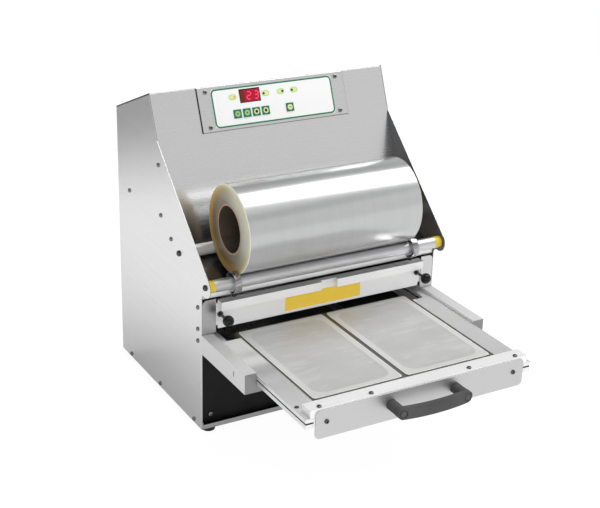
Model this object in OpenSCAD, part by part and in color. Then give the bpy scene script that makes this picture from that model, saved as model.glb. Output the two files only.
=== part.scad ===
/* [Body] */
// Outside width over the two side panels
body_w = 445; // [435:1:470]
// Depth of the side panels along the bottom edge
body_d = 336; // [334:1:356]
// Height of the rear edge of the side panels
rear_h = 463; // [455:1:480]
// Distance of the top front corner behind the front edge
top_y = 196; // [192:1:204]
// Lean of the sloped panel from the vertical, in degrees
slope_lean = 22.6; // [21.5:0.1:24]
// Length of the sloped edge above the cheeks
kink_run = 78; // [70:1:90]
// Distance of the nose centre in front of the front edge
nose_y = 14; // [12:1:16]
// Height of the nose centre
nose_z = 262; // [258:1:268]
// Radius of the cheek's nose
nose_r = 17; // [15:0.5:19]
// Radius of the blend under the nose
nose_blend = 10; // [6:1:12]
// Thickness of the body's sheet metal
sheet = 1.5; // [1.2:0.1:2]
// Height of the flange around the base
base_flange = 12; // [11:1:20]
// Height of the lip along the front of the base
base_lip = 8; // [5:1:12]
// Depth of the flange behind the sloped panel
slope_flange = 20; // [18:1:26]
// Setback of the lower front panel
lower_setback = 10; // [6:1:16]
// Number of vent slots across the rear cover
vent_count = 12; // [6:1:14]
// Length of one vent slot
vent_l = 60; // [40:5:80]
// Width of one vent slot
vent_w = 4; // [3:0.5:6]
// Distance between neighbouring vent slots
vent_pitch = 16; // [10:1:20]
// Height of the lower row of vent slots
vent_z = 287; // [250:1:300]

/* [Feet] */
// Height of a rubber foot
foot_h = 12; // [8:1:20]
// Diameter of a rubber foot
foot_d = 26; // [24:1:32]
// Distance of a foot's centre from the panels
foot_inset = 20; // [18:1:45]

/* [Screws] */
// Diameter of a small screw's head
head_d = 7.5; // [6:0.5:9]
// Height of a small screw's head
head_h = 2.2; // [1.5:0.1:3]
// Diameter of a small screw's shank
shank_d = 3.9; // [3:0.1:4.5]
// Radial clearance of a screw in its hole
screw_gap = 0.1; // [0.05:0.05:0.3]

/* [Film feed] */
// Width of the film on the roll
film_l = 320; // [280:1:330]
// Outside diameter of the film roll
film_od = 146; // [110:1:156]
// Inside diameter of the cardboard core
core_id = 76.2; // [70:0.1:80]
// Wall of the cardboard core
core_wall = 4; // [3:0.5:6]
// Sideways offset of the roll
film_x = -4.5; // [-8:0.5:8]
// Outside diameter of the two rollers
roller_od = 20; // [18:0.5:22]
// Wall of the roller tube
roller_wall = 2; // [1.5:0.5:3]
// Diameter of a roller's axle screw
axle_d = 6; // [5:0.5:8]
// Width of a coloured end bush
bush_w = 12; // [10:1:16]
// Distance of the rear roller from the shelf and from the sloped panel
roller_gap = 2.5; // [2:0.5:5]
// Outside diameter of a stop collar
collar_od = 36; // [32:1:40]
// Width of a stop collar
collar_w = 12; // [10:1:16]
// Distance of a stop collar from the film's edge
collar_gap = 1.5; // [1:0.5:4]
// Lean of the film shelf from the horizontal, in degrees
shelf_lean = 18; // [16:0.5:20]
// Radius of the rolled bead along the shelf
bead_r = 8; // [6:0.5:8.5]
// Distance of the bead's centre behind the front edge
bead_y = 11; // [10:0.5:14]
// Height of the bead's centre above the guard
bead_up = 9; // [9:0.5:13]

/* [Guard] */
// Height of the guard's face
guard_h = 51; // [45:1:55]
// Distance of the guard's front strip before the front edge
guard_d = 12.4; // [8:0.2:16]
// Height of the guard's front strip
strip_h = 15; // [10:1:18]
// Width of the notch in the front strip
notch_w = 30; // [20:1:60]
// Place of the notch across the machine
notch_x = 6; // [-20:1:20]
// How far the notch cuts back into the guard's top
notch_d = 6; // [3:0.5:9]
// Width of a front column
column_w = 24; // [20:1:28]
// Gap between a column and the guard
guard_gap = 4; // [2:0.5:6]
// Width of the guard's ears behind the columns
ear_w = 16; // [14:1:20]
// Diameter of a plunger's ball
ball_d = 18.5; // [14:0.5:20]
// Distance of the ball's centre before the guard's face
ball_reach = 29.5; // [26:0.5:34]
// Diameter of a plunger's pin
pin_d = 5; // [4:0.5:6]
// Distance of a plunger's axis from the guard's end
plunger_inset = 4; // [3:0.5:8]
// Height of a plunger's axis above the guard's lower edge
plunger_up = 25; // [20:1:28]

/* [Guides] */
// How far a guide arm stands out in front
arm_out = 151; // [120:1:170]
// Height of a guide arm's underside
guide_z = 140; // [130:1:150]
// Height of a guide arm
guide_h = 33; // [32:1:38]
// Width of a guide arm above its ledge
guide_w = 20; // [18:1:24]
// Width of a guide arm's ledge
ledge_w = 13.5; // [12:0.5:15]
// Height of a guide arm's ledge
ledge_h = 11; // [8:1:13]
// Thickness of a slide liner
liner_t = 0.7; // [0.5:0.1:1.5]
// Height of the small slot above a guide arm's underside
arm_slot_up = 18; // [16:0.5:20]
// Distance of the small slot behind a guide arm's end
arm_slot_y = 38; // [20:1:60]
// Width of the small slot
arm_slot_w = 3; // [2:0.5:5]
// Height of the small slot
arm_slot_h = 9; // [6:1:12]
// Running gap of the drawer in its guides
slide_gap = 0.3; // [0.2:0.1:0.6]

/* [Drawer] */
// Length of rail that the open drawer leaves in its guides
rail_hold = 45; // [38:1:50]
// Length of rail behind the trays
rail_tail = 51; // [46:1:56]
// Room for the drawer switch behind a rail
switch_room = 19.5; // [16:0.5:24]
// Thickness of the drawer's sheet metal
deck_t = 1.2; // [1:0.1:1.8]
// Width of a drawer rail
rail_w = 13; // [10:0.5:13]
// Height of a drawer rail
rail_h = 14.8; // [12:0.2:16]
// How much longer a drawer rail is than the body is deep
rail_more = 9; // [5:1:16]
// Wall of a drawer rail
rail_wall = 1.5; // [1.2:0.1:2]
// Height of the groove along a drawer rail
groove_h = 2.6; // [2:0.2:4]
// Height of the groove's lower edge above the rail's underside
groove_up = 6.8; // [5:0.2:8]
// Thickness of the drawer's front plate
front_t = 2; // [1.5:0.5:4]
// Height of the drawer's front plate
front_h = 46; // [42:1:52]
// Distance of the front plate's end inside the deck's edge
front_inset = 15; // [14:1:20]
// Corner radius of the front plate
front_r = 8; // [4:1:12]
// Depth of the crossbar
bar_d = 25; // [20:1:25]
// Height of the crossbar
bar_h = 12; // [8:1:14]
// Distance of the crossbar's end inside the deck's edge
bar_inset = 7; // [4:1:12]
// How far the crossbar stands above the front plate
bar_proud = 2; // [1:0.5:4]

/* [Trays] */
// Width of the body that the trays leave free
tray_side = 123; // [121:1:140]
// Depth of the body that the trays leave free
tray_room = 90; // [89:1:110]
// Depth of one tray
tray_h = 34; // [25:1:36]
// Width of a tray's rim
tray_rim = 7; // [5:0.5:10]
// Corner radius of a tray's rim
tray_r = 12; // [8:1:20]
// Thickness of a tray's wall
tray_t = 1; // [0.8:0.1:1.5]
// Thickness of the sealed film
lid_t = 0.4; // [0.3:0.1:0.6]
// Gap between the two trays
tray_gap = 8; // [6:1:12]
// Width of the mould around the trays
mould_rim = 4; // [3:0.5:5]
// Thickness of the mould
mould_t = 11; // [8:1:13]
// How far the deck stops short of the trays' rear edge
deck_short = 20; // [10:1:40]

/* [Handle] */
// Distance between the handle's posts
handle_w = 115; // [96:1:140]
// Height of the handle's bar
handle_h = 18.4; // [16:0.2:22]
// Thickness of the handle's bar
handle_t = 9; // [7:0.5:12]
// Reach of the handle's bar at its middle
handle_reach = 39; // [34:1:46]
// Forward bow of the handle's bar
handle_bow = 7; // [3:1:10]
// Height of the handle above the front plate's lower edge
handle_up = 26; // [20:1:28]
// Diameter of a handle's cover cap
cap_d = 13; // [10:0.5:14]

/* [Sealing head] */
// Height of the raised hot plate above the trays
head_gap = 24; // [18:1:26]
// Thickness of the hot plate
plate_t = 14; // [10:1:16]
// Thickness of the heater pad
heater_t = 3; // [2:0.5:5]
// Thickness of the carrier
carrier_t = 4; // [3:0.5:6]
// Thickness of the knife
knife_t = 2; // [1.5:0.5:3]
// Gap between the knife and the hot plate
knife_gap = 1; // [0.5:0.5:2]
// Diameter of a guide column
column_d = 12; // [10:1:16]
// Length of a guide column
column_l = 130; // [120:1:150]
// Distance of the columns from the middle
column_x = 120; // [90:1:140]
// Height of the lift bridge's plate
bridge_z = 312; // [300:1:324]
// Thickness of the lift bridge's plate
bridge_t = 3; // [2:0.5:4]
// Height of the lift bridge's flanges
bridge_flange = 20; // [18:1:26]
// Distance of the lift bridge from the rear cover
bridge_back = 33; // [25:1:45]
// Diameter of the lift actuator
actuator_d = 46; // [36:1:50]
// Height of the lift actuator
actuator_h = 100; // [80:1:106]
// Diameter of the actuator's push rod
rod_d = 16; // [12:1:20]

/* [Film rewinder] */
// Diameter of the rewind shaft
shaft_d = 25; // [18:1:28]
// Distance of the rewind shaft before the rear cover
shaft_back = 33; // [28:1:36]
// Diameter of the rewind shaft's journals
journal_d = 12; // [10:1:14]
// Length of the rewind motor
motor_l = 60; // [40:1:70]
// Diameter of the rewind motor
motor_d = 44; // [30:1:46]

/* [Controls] */
// Width of the control plate
control_w = 280; // [272:1:300]
// Height of the control plate
control_h = 75; // [74:1:78]
// Thickness of the control plate
control_t = 1.5; // [1:0.1:2]
// Distance of the control plate below the top edge
control_drop = 2; // [1:0.5:6]
// Width of the label
label_w = 230; // [220:1:232]
// Height of the label
label_h = 65; // [63:1:67]
// Thickness of the label
label_t = 0.4; // [0.3:0.1:0.8]
// Corner radius of the label
label_r = 5; // [3:0.5:8]
// Width of the display
display_w = 39; // [34:0.5:42]
// Height of the display
display_h = 23; // [18:0.5:25]
// Place of the display across the label
display_x = -44; // [-48:1:-40]
// Distance of the upper row below the control plate's top edge
upper_row = 21.5; // [19:0.5:24]
// Distance of the key row below the control plate's top edge
key_row = 50; // [46:0.5:54]
// Width of a key
key_w = 14; // [10:0.5:14.5]
// Distance between neighbouring keys
key_pitch = 17.7; // [17.5:0.1:20]
// Place of the first key across the label
key_x = -72; // [-76:1:-68]
// Place of the start key across the label
start_key_x = 27.7; // [20:0.1:40]
// Travel of a key
key_travel = 0.6; // [0.4:0.1:1]
// How far a key stands proud of the label
key_proud = 1; // [0.8:0.1:2]
// Length of the control board's spacers
spacer_l = 16; // [14:1:20]

/* [Power inlet] */
// Diameter of the cord's way through the gland
gland_bore = 9; // [6:0.5:10]
// Diameter of the gland's thread
gland_thread = 16; // [14:0.5:20]
// Reach of the gland behind the rear cover
gland_out = 14; // [10:1:20]
// Distance of the gland from the right side
gland_inset = 72.5; // [50:0.5:100]
// Height of the gland
gland_z = 60; // [40:1:90]

/* [Hidden] */
$fn = 48;
steel = [0.74, 0.75, 0.76];
bright = [0.86, 0.87, 0.88];
black = [0.06, 0.06, 0.065];
yellow = [0.93, 0.72, 0.08];
green = [0.0, 0.42, 0.27];

// Small allowances
fit_gap = 0.05;
rest_gap = 0.1;
soft_gap = 0.3;
side_gap = 0.5;
past = 1;
round_end = 0.01;

// Screws and feet
head_crown = 0.7;
head_socket = 0.4;
hole_d = shank_d + 2 * screw_gap;
axle_rim = 2;
axle_head_d = axle_d + 2 * axle_rim;
axle_head_rise = 1;
axle_head_h = head_h + axle_head_rise;
flat_head = 0.25;
screw_past = 2;
foot_taper = 4;
foot_recess_rim = 1.5;
foot_recess_d = head_d + 2 * foot_recess_rim;

// Side view, as points of depth and height
hw = body_w / 2;
in_hw = hw - sheet;
back_y = body_d - sheet;
top_h = rear_h + (body_d - top_y) * tan(slope_lean);
slope_up = [sin(slope_lean), cos(slope_lean)];
slope_out = [-cos(slope_lean), sin(slope_lean)];
top_corner = [top_y, top_h];
rear_corner = [body_d, rear_h];
kink = top_corner - kink_run * slope_up;
nose = [-nose_y, nose_z];
nose_turn = atan2(kink[1] - nose[1], kink[0] - nose[0]) + acos(nose_r / norm(kink - nose));
nose_tangent = nose + nose_r * [cos(nose_turn), sin(nose_turn)];
blend_drop = sqrt(pow(nose_r + nose_blend, 2) - pow(nose_y - nose_blend, 2));
blend_c = [-nose_blend, nose_z - blend_drop];

// Drawer stack, from the guides upwards
guide_short = 5;
front_flange = 26;
guide_in = hw - guide_w;
guide_top = guide_z + guide_h;
guide_back = back_y - guide_short;
ledge_z = guide_z + ledge_h;
rail_z = ledge_z + liner_t + slide_gap;
groove_d = rail_wall * 3 / 5;
deck_z = rail_z + rail_h + deck_t;
deck_hw = guide_in - side_gap;
tray_w = (body_w - tray_gap - tray_side) / 2;
tray_l = body_d - tray_room;
mould_hw = tray_w + tray_gap / 2 + mould_rim;
mould_z = deck_z - lid_t - tray_t - mould_t;
mould_top = mould_z + mould_t;
rim_top = mould_top + tray_t;
rail_l = body_d + rail_more;
rail_back = rail_hold;
deck_y = rail_back - rail_l;
drawer_y = deck_y - front_t;
tray_back = rail_back - rail_tail;
tray_y = tray_back - tray_l;
drawer_travel = back_y - switch_room - rail_back;
mould_y = tray_y - mould_rim;
mould_back = tray_back + mould_rim;
deck_back = tray_back - deck_short;
well_hw = mould_hw + side_gap;
well_y = mould_y - side_gap;
bar_z = deck_z + bar_h;
front_z = bar_z - bar_proud - front_h;
front_hw = deck_hw - front_inset;
switch_y = rail_back + drawer_travel + side_gap;
flange_z = deck_z - front_flange;
handle_z = front_z + handle_up;
handle_half = handle_w / 2;
bow_half = handle_half + handle_h / 2;
bow_r = (bow_half * bow_half + handle_bow * handle_bow) / (2 * handle_bow);
bow_y = drawer_y - handle_reach + bow_r;
cap_y = bow_y - sqrt(bow_r * bow_r - handle_half * handle_half);
cap_t = 3;
bolt_in = 14;
bar_screw_inset = 25.5;
bar_screw_back = 7;
bar_screw_x = deck_hw - bar_screw_inset;
bar_screws = [for (x = [-1, -0.5, 0.5, 1]) [x * bar_screw_x, deck_y + bar_screw_back]];
rail_screw_back = 13;
rail_screws = [for (x = [-1, 1]) [x * (deck_hw - rail_w / 2), deck_y + bar_d + rail_screw_back]];
front_screw_inset = 19;
front_screws = [for (x = [-1, 1]) [x * (front_hw - front_screw_inset), handle_z]];
handle_screws = [for (x = [-1, 1]) [x * handle_half, handle_z]];

// Lower front panel, under the trays' way
tray_clear = 3;
lower_top = rim_top - tray_h - tray_clear;
lower_hw = in_hw - sheet;
lower_flange = 2 * (foot_inset - lower_setback);

// Guard, columns and shelf above the drawer
slot_h = 11;
guard_z = deck_z + slot_h;
guard_top = guard_z + guard_h;
guard_hw = in_hw - column_w - guard_gap;
column_z = guide_top + past;
column_rise = 2;
column_top = guard_top + column_rise;
column_r = 8;
column_flange = 24;
plunger_x = guard_hw - plunger_inset;
plunger_z = guard_z + plunger_up;
bush_wall = 1.5;
bush_rim = 1;
bush_od = pin_d + 2 * bush_wall;
bush_flange_r = bush_od / 2 + bush_rim;
bush_front = 1.5;
bush_back = 16;
pin_back = 22;
ear_drop = 6;
bead = [bead_y, guard_top + bead_up];
shelf_dir = [cos(shelf_lean), sin(shelf_lean)];
shelf_up = [-sin(shelf_lean), cos(shelf_lean)];
bead_sink = 0.3;
shelf_start = bead + (bead_r - bead_sink) * shelf_up;
shelf_run = -((shelf_start - top_corner) * -slope_out) / (shelf_dir * -slope_out);
shelf_end = shelf_start + shelf_run * shelf_dir;

// Rollers and film
roller_r = roller_od / 2;
front_roller_c = nose;
corner_turn = acos(-shelf_dir * slope_up);
roller_step = (roller_r + roller_gap) / sin(corner_turn);
rear_roller_c = shelf_end + roller_step * (slope_up - shelf_dir);
roller_span = rear_roller_c - front_roller_c;
film_reach = film_od / 2 + roller_r + soft_gap;
film_rise = sqrt(pow(film_reach, 2) - pow(norm(roller_span) / 2, 2));
film_up = [-roller_span[1], roller_span[0]] / norm(roller_span);
film_c = (front_roller_c + rear_roller_c) / 2 + film_rise * film_up;
bush_end = in_hw - slide_gap;
tube_hw = bush_end - bush_w;
axle_tip = 4;
axle_in = bush_w + axle_tip;
axle_hole = axle_in + past;
thumb_shank = 3;
collar_x = film_l / 2 + collar_gap + collar_w / 2;
thumb_d = 8;
thumb_l = 6;

// Sealing head over the closed drawer
head_over = 2;
head_y = tray_y + drawer_travel - head_over;
head_back = tray_back + drawer_travel + head_over;
head_hw = mould_hw;
head_z = deck_z + head_gap;
heater_z = head_z + plate_t;
carrier_z = heater_z + heater_t;
carrier_top = carrier_z + carrier_t;
knife_out = knife_gap + knife_t;
bridge_top = bridge_z + bridge_t;
bridge_clear = 4;
bridge_slope_y = top_y - (top_h - bridge_top - bridge_flange) * tan(slope_lean);
bridge_y = bridge_slope_y + (slope_flange + bridge_clear) / cos(slope_lean);
bridge_end = back_y - bridge_back;
guide_bush_wall = 4;
guide_bush_d = column_d + 2 * guide_bush_wall;
bush_flange_d = guide_bush_d + 2 * guide_bush_wall;
bush_flange_t = 4;
bush_drop = 6;
column_edge = 2;
column_front = bridge_y + bush_flange_d / 2 + column_edge;
column_rear = head_back - column_d / 2 - column_edge;
column_places = [for (x = [-column_x, column_x], y = [column_front, column_rear]) [x, y]];
actuator_y = (column_front + column_rear) / 2;
rod_engage = 50;
rod_room = 5;
rod_l = bridge_top - carrier_top + rod_engage;
actuator_foot = 60;
actuator_foot_t = 5;
heater_inset = 10;

// Rewinder behind the head
shaft_y = back_y - shaft_back;
motor_clear = 5;
shaft_z = guide_top + motor_clear + motor_d / 2;
shaft_right = in_hw - motor_l - slide_gap;
bearing_w = 12;
shaft_left = -in_hw + bearing_w + slide_gap;
journal_l = 10;
bearing_side = 32;

// Controls, in the sloped panel's own plane
board_t = 1.6;
board_z = -sheet - spacer_l;
label_top = control_t + label_t;
label_mid = -control_drop - control_h / 2;
switch_h = 5;
switch_w = 8;
key_flange = 1;
key_gap = 0.25;
screw_inset = [15.5, 8];
screw_col = control_w / 2 - screw_inset[0];
screw_row = control_h / 2 - screw_inset[1];
spacer_wall = 2;
spacer_d = shank_d + 2 * spacer_wall;
board_inset = [7, 3];
key_places = [for (i = [0:3]) key_x + i * key_pitch];
lamp_places = [-76.3, -14.2, 14.6, 40.1];
lamp_w = 10;
lamp_h = 5;

// Screws through the side panels, as points of depth and height
slope_screw_runs = [116, 238];
slope_screw_in = (slope_flange + sheet) / 2;
slope_screws = [for (run = slope_screw_runs) top_corner - run * slope_up - slope_screw_in * slope_out];
bridge_screw_ends = [10, 15];
bridge_screw_y = [bridge_y + bridge_screw_ends[0], bridge_end - bridge_screw_ends[1]];
bridge_screws = [for (y = bridge_screw_y) [y, bridge_top + bridge_flange / 2]];
screw_setback = 14;
column_screw_ends = [5, 15];
column_screw_z = [column_z + column_screw_ends[0], column_top - column_screw_ends[1]];
column_screws = [for (z = column_screw_z) [screw_setback, z]];
guide_screw = [screw_setback, guide_z + arm_slot_up];
base_screw_ends = [30, 41];
base_screw_y = [base_screw_ends[0], body_d / 2, body_d - base_screw_ends[1]];
base_screws = [for (y = base_screw_y) [y, base_flange / 2]];
side_points = concat(slope_screws, bridge_screws, column_screws, [guide_screw], base_screws);
foot_points = [for (x = [-1, 1], y = [foot_inset, body_d - foot_inset]) [x * (in_hw - foot_inset), y]];
axle_points = [front_roller_c, rear_roller_c];

// Power supply on the base
supply_w = 160;
supply_d = 110;
supply_h = 56;
supply_back = 56;
supply_side = 61;
supply_corner = [supply_side - in_hw, back_y - supply_back - supply_d, sheet];
supply_slots = 10;
supply_pitch = supply_w / (supply_slots + 2);
supply_slot_w = supply_pitch / 2;

// Whole machine
gland_in = 12;
nut_t = 5;
gland_wall = 2;
gland_x = hw - gland_inset;
gland_dome = gland_thread + 2 * gland_wall;
gland_hex = gland_dome + 2 * gland_wall;
gland_back = body_d + gland_out;
front_most = drawer_y - handle_reach;
frame_y = -(front_most + gland_back) / 2;

// Places the machine with its feet on the ground and its box centred
module placed() {
    translate([0, frame_y, foot_h]) children();
}

// Extrudes a side view across the machine
module along_x(l) {
    rotate([90, 0, 90]) linear_extrude(l, center = true) children();
}

// Extrudes a front view backwards from its own plane
module along_y(l) {
    translate([0, l, 0]) rotate([90, 0, 0]) linear_extrude(l) children();
}

// A box from its low corner to its high corner
module block(low, high) {
    translate(low) cube(high - low);
}

// A strip of sheet from one point to another, with its thickness to one side
module strip(from, to, thickness) {
    polygon([from, to, to + thickness, from + thickness]);
}

// A rectangle with round corners, about its centre
module round_rect(w, l, r) {
    square([w - 2 * r, l], center = true);
    square([w, l - 2 * r], center = true);
    for (x = [-1, 1], y = [-1, 1]) translate([x * (w / 2 - r), y * (l / 2 - r)]) circle(r);
}

// A ring of a given length along its axis
module ring(outer, inner, l) {
    difference() {
        cylinder(d = outer, h = l);
        translate([0, 0, -past]) cylinder(d = inner, h = l + 2 * past);
    }
}

// Turns an upright piece to point across the machine
module facing(side) {
    rotate([0, 90 * side, 0]) children();
}

// Turns an upright piece to point to the front
module forward() {
    rotate([90, 0, 0]) children();
}

// Moves to the sloped panel's plane, with its top edge at the origin
module on_slope() {
    translate([0, top_y, top_h]) rotate([90 - slope_lean, 0, 0]) children();
}

// A button-head screw, with its head above the origin
module screw(l, head = head_d, rise = head_h, shank = shank_d) {
    difference() {
        union() {
            translate([0, 0, -l]) cylinder(d = shank, h = l + past);
            cylinder(d = head, h = rise / 2);
            translate([0, 0, rise / 2]) cylinder(d1 = head, d2 = head * head_crown, h = rise / 2);
        }
        translate([0, 0, rise / 2]) cylinder(d = head * head_socket, h = rise, $fn = 6);
    }
}

// Drills the side screws' holes through what lies behind both panels
module side_holes() {
    for (side = [-1, 1], p = side_points)
        translate([side * (in_hw - 3 * sheet), p[0], p[1]]) facing(side)
            cylinder(d = hole_d, h = 5 * sheet);
}

// Drills the control screws' holes through the sloped panel
module control_holes() {
    for (x = [-1, 1], y = [-1, 1])
        translate([x * screw_col, label_mid + y * screw_row, -sheet - past])
            cylinder(d = hole_d, h = sheet + control_t + 2 * past);
}

// Cuts the ways of the keys and the display
module control_cuts() {
    cut_depth = 4 * (label_top + sheet);
    for (x = concat(key_places, [start_key_x]))
        translate([x, -control_drop - key_row, 0])
            cube([key_w + 2 * key_gap, key_w + 2 * key_gap, cut_depth], center = true);
    translate([display_x, -control_drop - upper_row, 0])
        cube([display_w + 2 * rest_gap, display_h + 2 * rest_gap, cut_depth], center = true);
}

module side_profile() {
    polygon([[0, 0], [body_d, 0], rear_corner, top_corner, kink, nose_tangent, nose, [0, nose_z]]);
    translate(nose) circle(nose_r);
    difference() {
        polygon([[0, nose_z], nose, blend_c, [0, blend_c[1]]]);
        translate(blend_c) circle(nose_blend);
    }
}

module side_panel(side) {
    color(steel) placed() difference() {
        translate([side * (hw - sheet / 2), 0, 0]) along_x(sheet) side_profile();
        side_holes();
        for (p = axle_points)
            translate([side * (in_hw - past), p[0], p[1]]) facing(side)
                cylinder(d = axle_d + 2 * fit_gap, h = sheet + 2 * past);
    }
}

module left_side_panel() {
    side_panel(-1);
}

module right_side_panel() {
    side_panel(1);
}

module base_tray() {
    color(steel) placed() difference() {
        union() {
            block([-in_hw, 0, 0], [in_hw, back_y, sheet]);
            block([-in_hw, 0, 0], [in_hw, sheet, base_lip]);
            for (side = [-1, 1])
                translate([side * (in_hw - sheet / 2), back_y / 2, base_flange / 2])
                    cube([sheet, back_y, base_flange], center = true);
        }
        side_holes();
        for (p = foot_points) translate([p[0], p[1], -past])
            cylinder(d = hole_d, h = sheet + 2 * past);
    }
}

module rear_cover() {
    vent_x = -(vent_count - 1) / 2 * vent_pitch;
    color(steel) placed() difference() {
        block([-in_hw, back_y, 0], [in_hw, body_d, rear_h - sheet / cos(slope_lean)]);
        for (i = [0:vent_count - 1], row = [0, 1])
            translate([vent_x + i * vent_pitch, back_y - past, vent_z + row * (vent_l + vent_pitch)])
                along_y(sheet + 2 * past) round_rect(vent_w, vent_l, vent_w / 2 - round_end);
        translate([gland_x, body_d + past, gland_z]) forward()
            cylinder(d = gland_thread + 2 * rest_gap, h = sheet + 2 * past);
    }
}

module top_cover() {
    color(steel) placed() along_x(2 * in_hw) strip(rear_corner, top_corner, -sheet * slope_up);
}

module slope_panel() {
    slope_top = top_corner - sheet * slope_up;
    color(bright) placed() difference() {
        union() {
            along_x(2 * in_hw) strip(slope_top, shelf_end, -sheet * slope_out);
            for (side = [-1, 1])
                translate([side * (in_hw - sheet / 2), 0, 0]) along_x(sheet)
                    strip(slope_top, shelf_end, -slope_flange * slope_out);
        }
        side_holes();
        on_slope() control_cuts();
        on_slope() control_holes();
    }
}

module film_shelf() {
    color(bright) placed() difference() {
        union() {
            along_x(2 * in_hw) strip(shelf_start, shelf_end, -sheet * shelf_up);
            along_x(2 * in_hw) translate(bead) circle(bead_r);
        }
        along_x(2 * (in_hw + past)) translate(bead) circle(bead_r - sheet);
    }
}

module front_columns() {
    color(bright) placed() difference() {
        for (side = [-1, 1]) {
            translate([side * (in_hw - column_w / 2), 0, column_z]) along_y(sheet) column_face(side);
            side_block(side, [in_hw - sheet, 0, column_z], [in_hw, column_flange, column_top - column_r]);
        }
        side_holes();
    }
}

// One column's face, with a round corner at its outer top
module column_face(side) {
    h = column_top - column_z;
    translate([-column_w / 2, 0]) square([column_w, h - column_r]);
    translate([-column_w / 2 - (side - 1) / 2 * column_r, 0]) square([column_w - column_r, h]);
    translate([side * (column_w / 2 - column_r), h - column_r]) circle(column_r);
}

module film_guard() {
    face_y = sheet;
    color(bright) placed() difference() {
        union() {
            block([-guard_hw, face_y, guard_z], [guard_hw, face_y + sheet, guard_top]);
            block([-guard_hw - ear_w, face_y, guard_z + ear_drop],
                [guard_hw + ear_w, face_y + sheet, guard_top - ear_drop]);
            block([-guard_hw, -guard_d, guard_top - sheet], [guard_hw, face_y + sheet, guard_top]);
            block([-guard_hw, -guard_d, guard_top - strip_h], [guard_hw, -guard_d + sheet, guard_top]);
        }
        block([notch_x - notch_w / 2, -guard_d - past, guard_top - strip_h - past],
            [notch_x + notch_w / 2, -guard_d + notch_d, guard_top + past]);
        for (side = [-1, 1]) translate([side * plunger_x, face_y + sheet + past, plunger_z]) forward()
            cylinder(d = bush_od + 2 * rest_gap, h = sheet + 2 * past);
    }
}

module plunger_bushes() {
    color(steel) placed() for (side = [-1, 1])
        translate([side * plunger_x, sheet, plunger_z]) forward() difference() {
            union() {
                translate([0, 0, -bush_back]) cylinder(d = bush_od, h = bush_back + past);
                cylinder(r = bush_flange_r, h = bush_front);
            }
            translate([0, 0, -bush_back - past])
                cylinder(d = pin_d + 2 * fit_gap, h = bush_back + bush_front + 2 * past);
        }
}

module lower_front_panel() {
    color(black) placed() difference() {
        union() {
            block([-lower_hw, lower_setback, sheet], [lower_hw, lower_setback + sheet, lower_top]);
            block([-lower_hw, lower_setback, sheet], [lower_hw, lower_setback + lower_flange, 2 * sheet]);
            for (side = [-1, 1])
                side_block(side, [mould_hw + tray_clear, lower_setback, sheet],
                    [lower_hw, lower_setback + sheet, guide_z]);
        }
        for (p = foot_points) translate([p[0], p[1], 0]) cylinder(d = hole_d, h = 2 * sheet + past);
    }
}

module guide_arm(side) {
    difference() {
        union() {
            side_block(side, [guide_in, -arm_out, guide_z], [hw, 0, guide_top]);
            side_block(side, [guide_in, -past, guide_z], [in_hw, guide_back, guide_top]);
            side_block(side, [guide_in - ledge_w, -arm_out, guide_z],
                [guide_in + sheet, guide_back, ledge_z]);
        }
        side_block(side, [guide_in + sheet, sheet - arm_out, guide_z + sheet],
            [in_hw - sheet, guide_back + past, guide_top - sheet]);
        translate([side * hw, arm_slot_y - arm_out, guide_z + arm_slot_up])
            cube([6 * sheet, arm_slot_w, arm_slot_h], center = true);
    }
}

// A box given for the right side and mirrored for the left
module side_block(side, low, high) {
    x = side > 0 ? low[0] : -high[0];
    translate([x, low[1], low[2]]) cube(high - low);
}

module guide_arms() {
    color(bright) placed() difference() {
        for (side = [-1, 1]) guide_arm(side);
        side_holes();
    }
}

module guide_liners() {
    color("white") placed() for (side = [-1, 1])
        side_block(side, [guide_in - ledge_w + rest_gap, -arm_out + sheet, ledge_z],
            [guide_in - rest_gap, switch_y - past, ledge_z + liner_t]);
}

module rubber_feet() {
    color(black) placed() for (p = foot_points) translate([p[0], p[1], -foot_h]) difference() {
        cylinder(d1 = foot_d - foot_taper, d2 = foot_d, h = foot_h);
        translate([0, 0, -past]) cylinder(d = foot_recess_d, h = foot_h / 2 + past);
        cylinder(d = hole_d, h = foot_h + past);
    }
}

module body_screws() {
    color(steel) placed() {
        for (side = [-1, 1], p = side_points)
            translate([side * hw, p[0], p[1]]) facing(side) screw(2 * sheet + past);
        for (p = foot_points) translate([p[0], p[1], -foot_h / 2]) rotate([180, 0, 0])
            screw(foot_h / 2 + 2 * sheet + screw_past);
        on_slope() for (x = [-1, 1], y = [-1, 1])
            translate([x * screw_col, label_mid + y * screw_row, control_t])
                screw(control_t + sheet + spacer_l / 2);
    }
}

module roller_axles() {
    color(black) placed() for (side = [-1, 1], p = axle_points)
        translate([side * hw, p[0], p[1]]) facing(side)
            screw(sheet + slide_gap + axle_in, axle_head_d, axle_head_h, axle_d);
}

module control_plate() {
    color(bright) placed() on_slope() difference() {
        translate([0, label_mid, 0]) linear_extrude(control_t)
            square([control_w, control_h], center = true);
        control_cuts();
        control_holes();
    }
}

module control_label() {
    color("white") placed() on_slope() difference() {
        translate([0, label_mid, control_t]) linear_extrude(label_t)
            round_rect(label_w, label_h, label_r);
        control_cuts();
        for (x = lamp_places) translate([x, -control_drop - upper_row, control_t - past])
            linear_extrude(label_t + 2 * past)
                round_rect(lamp_w + 2 * rest_gap, lamp_h + 2 * rest_gap, lamp_h / 2);
    }
}

module display_window() {
    color([0.35, 0.02, 0.04]) placed() on_slope()
        translate([display_x - display_w / 2, -control_drop - upper_row - display_h / 2, board_z])
            cube([display_w, display_h, label_top + rest_gap - board_z]);
}

module indicator_lamps() {
    color([0.75, 0.86, 0.45]) placed() on_slope() for (x = lamp_places)
        translate([x, -control_drop - upper_row, control_t])
            linear_extrude(label_t + 2 * rest_gap) round_rect(lamp_w, lamp_h, lamp_h / 2 - round_end);
}

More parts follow.
